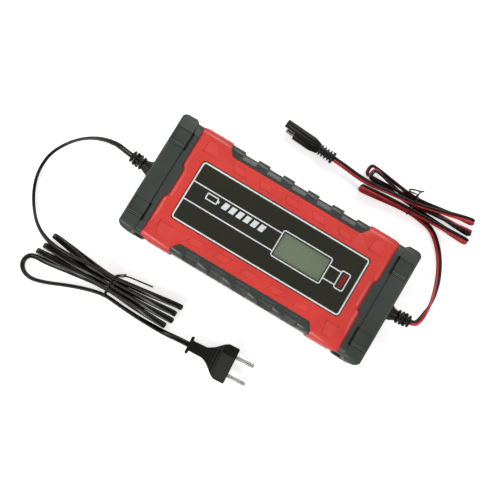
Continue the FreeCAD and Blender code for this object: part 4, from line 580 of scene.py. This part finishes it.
OUTPUT_ROUTE = [
    (150.39, 2.091, 24.5, 150), (154.6, 2.533, 24.5, 150), (157.2, 6.6, 23.9, 125),
    (158.6, 14.4, 22.6, 90), (159.8, 24.5, 19.6, 50), (159.4, 35.4, 16.1, 20),
    (157.4, 46.6, 12.6, 5), (154.6, 56.6, 9.4, 0), (150, 67.4, 6.5, 0), (143.4, 78, 4.2, 0),
    (135, 87, 3, 0), (127, 92.4, 2.5, 0), (118.15, 94.53, 2.5, -20), (100, 96.3, 3.9, -50),
    (53, 90.6, 2.5, 0), (48.8, 90.8, 2.5, 0), (48.8, 91.8, 10.9, 0), (53, 92, 10.9, 0),
    (76, 94.6, 9.6, 45), (100, 96.3, 8.9, 60), (130, 97.4, 9.6, 40),
    (158, 98, 10.9, 0), (162.2, 98, 10.9, 0), (162.2, 98, 2.5, 0), (158, 98, 2.5, 0),
    (130, 99.6, 3.4, -80), (100, 102.3, 3.9, -88), (76, 103.2, 5.6, -88),
    (56, 103.5, 7.2, -88), (51, 103.9, 7.6, -88), (51, 111.1, 12.6, -88),
    (56, 111.5, 13, -88), (78, 106.4, 10.8, -88), (100, 102.3, 8.9, -88),
    (130, 104.6, 10, -80), (157, 107, 10.9, 0), (161.2, 107, 10.9, 0), (161.2, 107, 2.5, 0),
    (157, 107, 2.5, 0), (130, 107.4, 3.4, 80), (100, 108.3, 3.9, 88), (76, 107.2, 3.2, 88),
    (52, 106, 3, 88), (46.6, 106.4, 3.1, 88), (46.6, 115.2, 7, 88), (52, 115.6, 7.2, 88),
    (76, 111.4, 8.2, 88), (100, 108.3, 8.9, 88), (130, 113.4, 6.2, 80), (154, 117, 4.2, 0),
    (158.2, 117, 4.2, 0), (158.2, 117, 12.6, 0), (154, 117, 12.6, 0), (128, 109.6, 14, -80),
    (100, 102.3, 14.2, -70), (74, 100, 12.8, -60), (62.23, 98.94, 9.78, -35),
    (50, 98.4, 7.9, -10), (38, 99.2, 7.1, 0), (26, 100.503, 7.436, 0),
    (12.5, 101.4, 7.436, 0)]
MAINS_TIE = [
    (-72, -92.6, 1.6), (-86, -94.6, 5), (-98, -96.4, 10), (-100.4, -99.4, 12.6),
    (-104, -100.2, 13.2), (-107, -103.6, 13.4), (-107, -112, 13.4), (-107, -119.4, 11.4),
    (-107, -123.8, 7), (-107, -123.8, 2.6), (-107, -120, 0.8), (-107, -104.4, 0.8),
    (-107, -101.8, 2.6), (-106.9, -101, 8), (-105.6, -100.2, 12.4), (-101, -97.2, 13.4),
    (-98, -95.4, 12.6)]
OUTPUT_TIE = [
    (102.6, 118.6, 9.6), (100.6, 116.8, 12), (98.6, 112.4, 14.6), (99.6, 108, 17),
    (100, 104.8, 17.8), (100, 99.2, 17.6), (100, 92.4, 12.4), (100, 91.8, 3.6),
    (100, 94.6, 0.7), (100, 109.8, 0.7), (100, 112.8, 2.8), (99, 112.9, 9), (96, 111.6, 12.8),
    (90.6, 110.8, 12.6), (89.2, 112, 12.4), (92.6, 114.4, 12.4), (100.4, 116.6, 11)]


# Operators

class CHARGER_OT_stage(bpy.types.Operator):
    """Set up the camera, the lamps and the floor"""

    bl_idname = "charger.stage"
    bl_label = "Stage"

    def execute(self, context):
        settings = context.scene.charger_stage
        self.camera(context, settings)
        self.lamps(context, settings)
        self.world(context, settings)
        self.floor(settings)
        return {"FINISHED"}

    def camera(self, context, settings):
        data = bpy.data.cameras.new("Camera")
        data.lens = settings.lens
        data.sensor_width = 36.0
        data.clip_end = 50.0
        camera = bpy.data.objects.new("Camera", data)
        right = Vector(CAMERA_RIGHT).normalized()
        up = Vector(CAMERA_UP).normalized()
        back = right.cross(up).normalized()
        up = back.cross(right)
        turn = Matrix((right, up, back)).transposed().to_4x4()
        camera.matrix_world = Matrix.Translation(Vector(CAMERA_PLACE) * MM) @ turn
        context.scene.collection.objects.link(camera)
        context.scene.camera = camera

    def lamps(self, context, settings):
        for name, place, size, power in (
                ("Key", (-0.45, -1.0, 0.85), (1.5, 0.35), settings.key_power),
                ("Fill", (-0.1, 1.0, 0.95), (1.0, 0.5), settings.fill_power),
                ("Rim right", (1.05, 0.05, 0.9), (0.25, 1.0), settings.rim_power),
                ("Rim left", (-1.05, 0.0, 0.8), (0.25, 1.0), settings.rim_power)):
            data = bpy.data.lights.new(name, "AREA")
            data.shape = "RECTANGLE"
            data.size, data.size_y = size
            data.energy = power
            lamp = bpy.data.objects.new(name, data)
            lamp.location = place
            lamp.rotation_euler = (Vector((0, 0, 0)) - Vector(place)).to_track_quat(
                "-Z", "Y").to_euler()
            context.scene.collection.objects.link(lamp)

    def world(self, context, settings):
        """Even light that is stronger from low all around than from straight above."""
        world = bpy.data.worlds.new("World")
        world.use_nodes = True
        tree = world.node_tree
        background = tree.nodes["Background"]
        background.inputs["Color"].default_value = (1.0, 1.0, 1.0, 1.0)
        place = tree.nodes.new("ShaderNodeTexCoord")
        height = tree.nodes.new("ShaderNodeSeparateXYZ")
        tree.links.new(place.outputs["Generated"], height.inputs["Vector"])
        strength = tree.nodes.new("ShaderNodeMapRange")
        strength.inputs["From Min"].default_value = 0.0
        strength.inputs["From Max"].default_value = settings.fade_height
        strength.inputs["To Min"].default_value = settings.world_light
        strength.inputs["To Max"].default_value = settings.zenith_light
        tree.links.new(height.outputs["Z"], strength.inputs["Value"])
        tree.links.new(strength.outputs["Result"], background.inputs["Strength"])
        context.scene.world = world
        context.scene.view_settings.view_transform = "Standard"

    def floor(self, settings):
        """A pale floor that keeps the shadows and glows a little as the camera sees it."""
        reach, depth = settings.floor_size / 2, 20.0 * MM
        shape = bmesh.new()
        bar(shape, -reach, -reach, reach, reach, -depth, 0.0)
        nodes = Nodes("Floor")
        nodes.join(nodes.ramp(nodes.noise(scale=3.0), (0.86, 0.86, 0.86), (0.88, 0.88, 0.88)),
                   nodes.shader.inputs["Base Color"])
        nodes.set(Roughness=0.9, Specular_IOR_Level=0.0)
        rays = nodes.add("ShaderNodeLightPath")
        glow = nodes.add("ShaderNodeEmission")
        glow.inputs["Color"].default_value = (1.0, 1.0, 1.0, 1.0)
        seen = nodes.add("ShaderNodeMath")
        seen.operation = "MULTIPLY"
        nodes.join(rays.outputs["Is Camera Ray"], seen.inputs[0])
        seen.inputs[1].default_value = settings.floor_glow
        nodes.join(seen.outputs["Value"], glow.inputs["Strength"])
        both = nodes.add("ShaderNodeAddShader")
        nodes.join(nodes.shader.outputs["BSDF"], both.inputs[0])
        nodes.join(glow.outputs["Emission"], both.inputs[1])
        output = nodes.tree.nodes["Material Output"]
        nodes.join(both.outputs["Shader"], output.inputs["Surface"])
        from_bmesh("Floor", shape, nodes.material)


class CHARGER_OT_case(bpy.types.Operator):
    """Finish the case shells, the end boots and the side grips"""

    bl_idname = "charger.case"
    bl_label = "Case"

    def execute(self, context):
        settings = context.scene.charger_finish
        red = moulded("Red case plastic", tuple(settings.red), roughness=0.34, grain=1500.0,
                      depth=0.012 * MM, coat=0.12)
        rubber = moulded("Grey boot rubber", tuple(settings.rubber), roughness=0.42,
                         grain=1800.0, depth=0.03 * MM, spread=0.12, gloss=0.45)
        grip = moulded("Grip rubber", shade(tuple(settings.rubber), 0.95), roughness=0.3,
                       grain=1800.0, depth=0.02 * MM, spread=0.10, gloss=0.6)
        for node in ("top_shell", "bottom_shell"):
            soften(dress(node, red), settings.edge)
        for node in ("mains_end_boot", "output_end_boot"):
            soften(dress(node, rubber), settings.rubber_edge)
        for node in ("near_side_grip", "far_side_grip"):
            soften(dress(node, grip), settings.rubber_edge)
        self.tiles(settings)
        self.boot_marks(settings)
        return {"FINISHED"}

    def boot_marks(self, settings):
        """Painted shade in the boots' slots and painted highlights on the ribs beside them."""
        # Near-black plates on the slot floors: painted shade for the depth of the slots.
        dark = moulded("Slot shade", (0.010, 0.010, 0.008), roughness=0.6)
        # Rib tops at over three times the rubber's brightness: a painted highlight for the light
        # that the ribs catch.
        wear_and_sheen = moulded("Rib rubber with painted highlight", shade(tuple(settings.rubber), 3.2), roughness=0.35,
                       grain=1800.0, depth=0.02 * MM)
        floors, ribs = bmesh.new(), bmesh.new()
        for end in (-1, 1):
            slot = sorted(end * reach * MM for reach in SLOT_SPAN)
            run = sorted(end * reach * MM for reach in RIB_SPAN)
            for near in REST_STARTS:
                bar(floors, slot[0], (near - REST_MARGIN) * MM, slot[1],
                    (near + REST_LENGTH + REST_MARGIN) * MM, *SLOT_HEIGHTS)
                for edge in RIB_EDGES:
                    bar(ribs, run[0], (near + edge) * MM, run[1],
                        (near + edge + RIB_WIDTH) * MM, *RIB_HEIGHTS)
        on_case(from_bmesh("boot_slot_painted_shade", floors, dark))
        on_case(from_bmesh("boot_rib_painted_highlights", ribs, wear_and_sheen))

    def tiles(self, settings):
        """The glossy floors of the pressed tiles and shields, in a lighter red as painted sheen.
        """
        # The lighter colour is painted sheen; the low roughness and the coat are the tiles' real
        # gloss.
        polished = moulded("Glossy red tile with painted sheen", tuple(settings.tile), roughness=0.2,
                           grain=600.0, depth=0.02 * MM, coat=0.3)
        shape = bmesh.new()
        for side in (-1, 1):
            for number in range(-2, 3):
                add_plate(shape, [((TILE_PITCH * number + x) * MM, side * y * MM)
                                  for x, y in TILE_OUTLINE], *TILE_HEIGHTS)
        for end in (-1, 1):
            for side in (-1, 1):
                add_plate(shape, [((SHIELD_MIDDLE * end + x) * MM, side * y * MM)
                                  for x, y in SHIELD_OUTLINE], *SHIELD_HEIGHTS)
        on_case(from_bmesh("face_tiles", shape, polished))


class CHARGER_OT_front(bpy.types.Operator):
    """Finish the front panel, print its lines, and finish the display and the button"""

    bl_idname = "charger.front"
    bl_label = "Front panel"

    def execute(self, context):
        finish = context.scene.charger_finish
        prints = context.scene.charger_print
        film = moulded("Black panel film", tuple(finish.panel), roughness=0.30, grain=3000.0,
                       depth=0.008 * MM, coat=0.2)
        glass = moulded("Display glass", (0.225, 0.29, 0.185), roughness=0.35, grain=900.0,
                        depth=0.002 * MM, coat=0.2, spread=0.05)
        key = moulded("Black key", (0.02, 0.019, 0.016), roughness=0.4)
        dress("front_panel", film)
        dress("display_window", clear("Clear window", (0.10, 0.12, 0.10)))
        dress("display_glass", glass)
        dress("display_backlight", moulded("Backlight", (0.5, 0.54, 0.44), roughness=0.5))
        soften(dress("mode_button", key), 0.3 * MM)
        self.mask()
        ink = moulded("White ink", tuple(finish.print_ink), roughness=0.45, grain=2400.0,
                      depth=0.01 * MM)
        self.lines(prints, ink)
        self.marks(prints, ink)
        self.key_mark(prints)
        return {"FINISHED"}

    def mask(self):
        """The display film under the window and black rings of painted shade at its edge and
        gap.
        """
        low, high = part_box("display_window")

        def outline(inset, radius):
            return rounded_rectangle(low.x + inset * MM, low.y + inset * MM,
                                     high.x - inset * MM, high.y - inset * MM, radius * MM)

        film = moulded("Display film", (0.215, 0.275, 0.175), roughness=0.35, grain=900.0,
                       depth=0.002 * MM, coat=0.2, spread=0.05)
        # Near-black rings: painted shade at the window's inner edge, painted shadow in the gap
        # round it.
        black = moulded("Window edge painted shade", (0.012, 0.012, 0.010), roughness=0.4)
        foot, top = low.z + 0.02 * MM, low.z + 0.1 * MM
        shape = bmesh.new()
        add_plate(shape, outline(inset=0.7, radius=1.0), foot, top)
        on_case(from_bmesh("display_film", shape, film))
        shape = bmesh.new()
        # Painted shade along the inner edge of the window
        add_ring(shape, outline(inset=0.02, radius=1.3), outline(inset=0.72, radius=0.9),
                 foot, top)
        # Painted shadow lining the gap between the window and the case
        add_ring(shape, outline(inset=-0.28, radius=1.6), outline(inset=-0.03, radius=1.4),
                 foot, high.z)
        on_case(from_bmesh("window_edge_painted_shade", shape, black))

    def lines(self, prints, ink):
        """The frames round the panel, the display and the key, and the lines between them."""
        foot, top = FACE - INK_SINK, FACE + prints.ink_height
        fine = prints.fine_line
        shape = bmesh.new()
        frame_line(shape, *PANEL_FRAME, PANEL_CORNER, prints.line, foot, top)
        frame_line(shape, *DISPLAY_FRAME, DISPLAY_CORNER, fine, foot, top)
        frame_line(shape, *KEY_FRAME, KEY_CORNER, fine, foot, top)
        for level in PANEL_LEVELS:
            bar(shape, PANEL_FRAME[0] + prints.line / 2, level - fine / 2,
                DISPLAY_FRAME[0] - fine / 2, level + fine / 2, foot, top)
        for level in KEY_LEVELS:
            bar(shape, DISPLAY_FRAME[2] + fine / 2, level - fine / 2,
                KEY_FRAME[0] - fine / 2, level + fine / 2, foot, top)
        on_case(from_bmesh("panel_lines", shape, ink))

    def marks(self, prints, ink):
        """A plain charge gauge: a battery outline and a row of slanting bars."""
        foot, top = FACE - INK_SINK, FACE + prints.ink_height
        shape = bmesh.new()
        frame_line(shape, *BATTERY_FRAME, BATTERY_CORNER, BATTERY_LINE, foot, top)
        bar(shape, *BATTERY_CAP, foot, top)
        for number in range(GAUGE_BARS):
            start = GAUGE_START + GAUGE_PITCH * number
            add_plate(shape, [((start + x) * MM, y * MM) for x, y in GAUGE_OUTLINE], foot, top)
        on_case(from_bmesh("charge_gauge", shape, ink))

    def key_mark(self, prints):
        """A plain red mark on the key: four small open steps in a row."""
        low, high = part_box("mode_button")
        foot, top = high.z - INK_SINK, high.z + prints.ink_height
        middle = (low.x + high.x) / 2
        red = moulded("Red key ink", (0.55, 0.03, 0.012), roughness=0.4, grain=2400.0,
                      depth=0.01 * MM)
        shape = bmesh.new()
        for step in range(KEY_STEPS):
            level = (step - (KEY_STEPS - 1) / 2) * KEY_STEP_PITCH
            frame_line(shape, middle - KEY_STEP_REACH, level - KEY_STEP_RISE,
                       middle + KEY_STEP_REACH, level + KEY_STEP_RISE, KEY_STEP_CORNER,
                       KEY_STEP_LINE, foot, top)
        mark = from_bmesh("key_mark", shape, red)
        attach(mark, "mode_button")


class CHARGER_OT_inside(bpy.types.Operator):
    """Finish the screws, the circuit boards and the parts on them"""

    bl_idname = "charger.inside"
    bl_label = "Inside"

    def execute(self, context):
        green = moulded("Green board", (0.02, 0.13, 0.06), roughness=0.35, grain=900.0,
                        depth=0.01 * MM, coat=0.3)
        black = moulded("Black moulding", (0.02, 0.02, 0.019), roughness=0.5)
        white = moulded("White moulding", (0.62, 0.62, 0.58), roughness=0.45)
        steel = metal("Zinc plated steel", (0.6, 0.6, 0.58), roughness=0.3)
        sheet = metal("Aluminium sheet", (0.72, 0.73, 0.74), roughness=0.32,
                      brushed=(1.0, 12.0, 12.0))
        ferrite = moulded("Ferrite", (0.045, 0.045, 0.048), roughness=0.6, grain=800.0)
        tape = moulded("Yellow tape", (0.72, 0.47, 0.05), roughness=0.4)
        copper = metal("Lacquered copper", (0.75, 0.3, 0.12), roughness=0.3,
                       brushed=(1.0, 1.0, 20.0))
        brass = metal("Brass", (0.8, 0.6, 0.25), roughness=0.28)
        glass = clear("Fuse glass", (0.80, 0.84, 0.84), opacity=0.3)
        terminal = moulded("Green terminal", (0.03, 0.25, 0.08), roughness=0.45)
        sleeve = moulded("Can sleeve", (0.015, 0.02, 0.06), roughness=0.35)
        wire = vinyl("Wire insulation", (0.35, 0.02, 0.02))
        wearers = {
            green: ("display_board", "circuit_board"),
            black: ("switch_body", "bridge_rectifier", "mains_transistor", "output_rectifiers",
                    "control_chip"),
            white: ("switch_plunger", "relay", "board_link"),
            steel: ("case_screws", "circuit_board_screws", "display_board_screws"),
            sheet: ("mains_heatsink", "output_heatsink"),
            ferrite: ("transformer_core",),
            tape: ("transformer_winding", "interference_capacitor"),
            copper: ("mains_choke", "output_choke"),
            brass: ("fuse_clips",),
            glass: ("fuse",),
            terminal: ("mains_terminal", "output_terminal"),
            sleeve: ("mains_capacitor", "output_capacitors"),
            wire: ("mains_cores", "output_cores"),
        }
        for material, nodes in wearers.items():
            for node in nodes:
                dress(node, material)
        return {"FINISHED"}


class CHARGER_OT_cord_ends(bpy.types.Operator):
    """Finish the strain reliefs, the mains plug and the output connector"""

    bl_idname = "charger.cord_ends"
    bl_label = "Cord ends"

    def execute(self, context):
        soft = moulded("Black soft moulding", (0.0075, 0.0072, 0.0045), roughness=0.34,
                       grain=900.0, depth=0.02 * MM, gloss=0.35)
        sleeve = moulded("Pin sleeve", (0.50, 0.52, 0.48), roughness=0.35)
        nickel = metal("Bright nickel", (0.52, 0.50, 0.44), roughness=0.22)
        brass = metal("Contact brass", (0.78, 0.58, 0.25))
        for node in ("mains_strain_relief", "output_strain_relief", "mains_plug",
                     "output_connector"):
            soften(dress(node, soft), 0.4 * MM)
        dress("mains_plug_pin_sleeves", sleeve)
        dress("mains_plug_pins", nickel)
        dress("output_connector_pin", nickel)
        dress("output_connector_socket", brass)
        return {"FINISHED"}


class CHARGER_OT_mains_cord(bpy.types.Operator):
    """Lay the flat mains cord along its route, folded and tied"""

    bl_idname = "charger.mains_cord"
    bl_label = "Mains cord"

    def execute(self, context):
        cords = context.scene.charger_cord
        line, length = evenly(smooth_route("mains_route", MAINS_ROUTE), cords.step)
        broad, flat = frames_along(line, lean_along(MAINS_ROUTE, line))
        shape = bmesh.new()
        add_tube(shape, line, flat_section(cords.mains_width, cords.mains_thickness),
                 broad, flat)
        cord = from_bmesh("mains_cord", shape, vinyl("Black vinyl", (0.006, 0.0055, 0.003)))
        on_case(cord)
        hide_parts("mains_cord_lead", "mains_cord_hank", "mains_cord_tail")
        ([self.plug_face()] + [
                    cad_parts[n] for n in
                    ("mains_plug", "mains_plug_pins", "mains_plug_pin_sleeves")])
        return {"FINISHED"}

    def plug_face(self):
        """The rougher grip face on top of the plug's wide block, lighter as painted top light.
        """
        # About twice the plug's brightness: painted light on the plug's top; the higher
        # roughness is the face's real matt finish.
        matt_and_painted_light = moulded("Plug grip face with painted light", (0.017, 0.0175, 0.015), roughness=0.55, grain=700.0,
                       depth=0.05 * MM)
        cord_end = MAINS_ROUTE[-1]
        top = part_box("mains_plug")[1].z
        outline = [((cord_end[0] + x * math.cos(PLUG_TURN) - y * math.sin(PLUG_TURN)) * MM,
                    (cord_end[1] + x * math.sin(PLUG_TURN) + y * math.cos(PLUG_TURN)) * MM)
                   for x, y in PLUG_GRIP]
        shape = bmesh.new()
        add_plate(shape, outline, top - 0.05 * MM, top + 0.03 * MM)
        return on_case(from_bmesh("plug_grip_face_painted_light", shape, matt_and_painted_light))


class CHARGER_OT_output_cord(bpy.types.Operator):
    """Lay the red and black output cord along its route, folded and tied"""

    bl_idname = "charger.output_cord"
    bl_label = "Output cord"

    def execute(self, context):
        cords = context.scene.charger_cord
        line, length = evenly(smooth_route("output_route", OUTPUT_ROUTE), cords.step)
        broad, flat = frames_along(line, lean_along(OUTPUT_ROUTE, line))
        radius = cords.core_width / 2
        apart = radius * 0.96
        shape = bmesh.new()
        add_tube(shape, line, round_section(radius, apart), broad, flat, slot=1)
        add_tube(shape, line, round_section(radius, -apart), broad, flat, slot=0)
        black = vinyl("Black core vinyl", (0.006, 0.0057, 0.0036))
        red = vinyl("Red core vinyl", (0.55, 0.035, 0.04))
        cord = from_bmesh("output_cord", shape, black, red)
        on_case(cord)
        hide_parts("output_cord_lead", "output_cord_hank", "output_cord_tail")
        return {"FINISHED"}


class CHARGER_OT_ties(bpy.types.Operator):
    """Twist the wire ties round both hanks"""

    bl_idname = "charger.ties"
    bl_label = "Ties"

    def execute(self, context):
        material = vinyl("Black tie vinyl", (0.007, 0.007, 0.006), 0.4)
        for name, points in (("mains_cord_tie", MAINS_TIE), ("output_cord_tie", OUTPUT_TIE)):
            line, length = evenly(smooth_route(name, points), TIE_STEP)
            broad, flat = frames_along(line, np.zeros(len(line)))
            shape = bmesh.new()
            add_tube(shape, line, flat_section(TIE_WIDTH, TIE_THICKNESS, count=12), broad, flat)
            tie = from_bmesh(name + "_strip", shape, material)
            on_case(tie)
            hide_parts(name)
        return {"FINISHED"}


class CHARGER_PT_panel(bpy.types.Panel):
    """Settings and steps of the battery charger's look"""

    bl_label = "Battery Charger"
    bl_idname = "CHARGER_PT_panel"
    bl_space_type = "VIEW_3D"
    bl_region_type = "UI"
    bl_category = "Charger"

    def draw(self, context):
        for name, operators in (
                ("charger_stage", ("charger.stage",)),
                ("charger_finish", ("charger.case", "charger.inside", "charger.cord_ends")),
                ("charger_print", ("charger.front",)),
                ("charger_cord", ("charger.mains_cord", "charger.output_cord",
                                  "charger.ties"))):
            box = self.layout.box()
            settings = getattr(context.scene, name)
            for key in settings.__annotations__:
                box.prop(settings, key)
            for operator in operators:
                box.operator(operator)


SETTINGS = {
    "charger_stage": ChargerStageSettings,
    "charger_finish": ChargerFinishSettings,
    "charger_print": ChargerPrintSettings,
    "charger_cord": ChargerCordSettings,
}
OPERATORS = (
    CHARGER_OT_stage, CHARGER_OT_mains_cord, CHARGER_OT_output_cord, CHARGER_OT_ties,
    CHARGER_OT_case, CHARGER_OT_front, CHARGER_OT_inside, CHARGER_OT_cord_ends,
)


def register():
    for name, group in SETTINGS.items():
        bpy.utils.register_class(group)
        setattr(bpy.types.Scene, name, bpy.props.PointerProperty(type=group))
    for operator in OPERATORS:
        bpy.utils.register_class(operator)
    bpy.utils.register_class(CHARGER_PT_panel)


def unregister():
    bpy.utils.unregister_class(CHARGER_PT_panel)
    for operator in reversed(OPERATORS):
        bpy.utils.unregister_class(operator)
    for name, group in SETTINGS.items():
        delattr(bpy.types.Scene, name)
        bpy.utils.unregister_class(group)


def main():
    register()
    bpy.ops.charger.stage()
    bpy.ops.charger.mains_cord()
    bpy.ops.charger.output_cord()
    bpy.ops.charger.ties()
    bpy.ops.charger.case()
    bpy.ops.charger.front()
    bpy.ops.charger.inside()
    bpy.ops.charger.cord_ends()


if __name__ == "__main__":
    main()
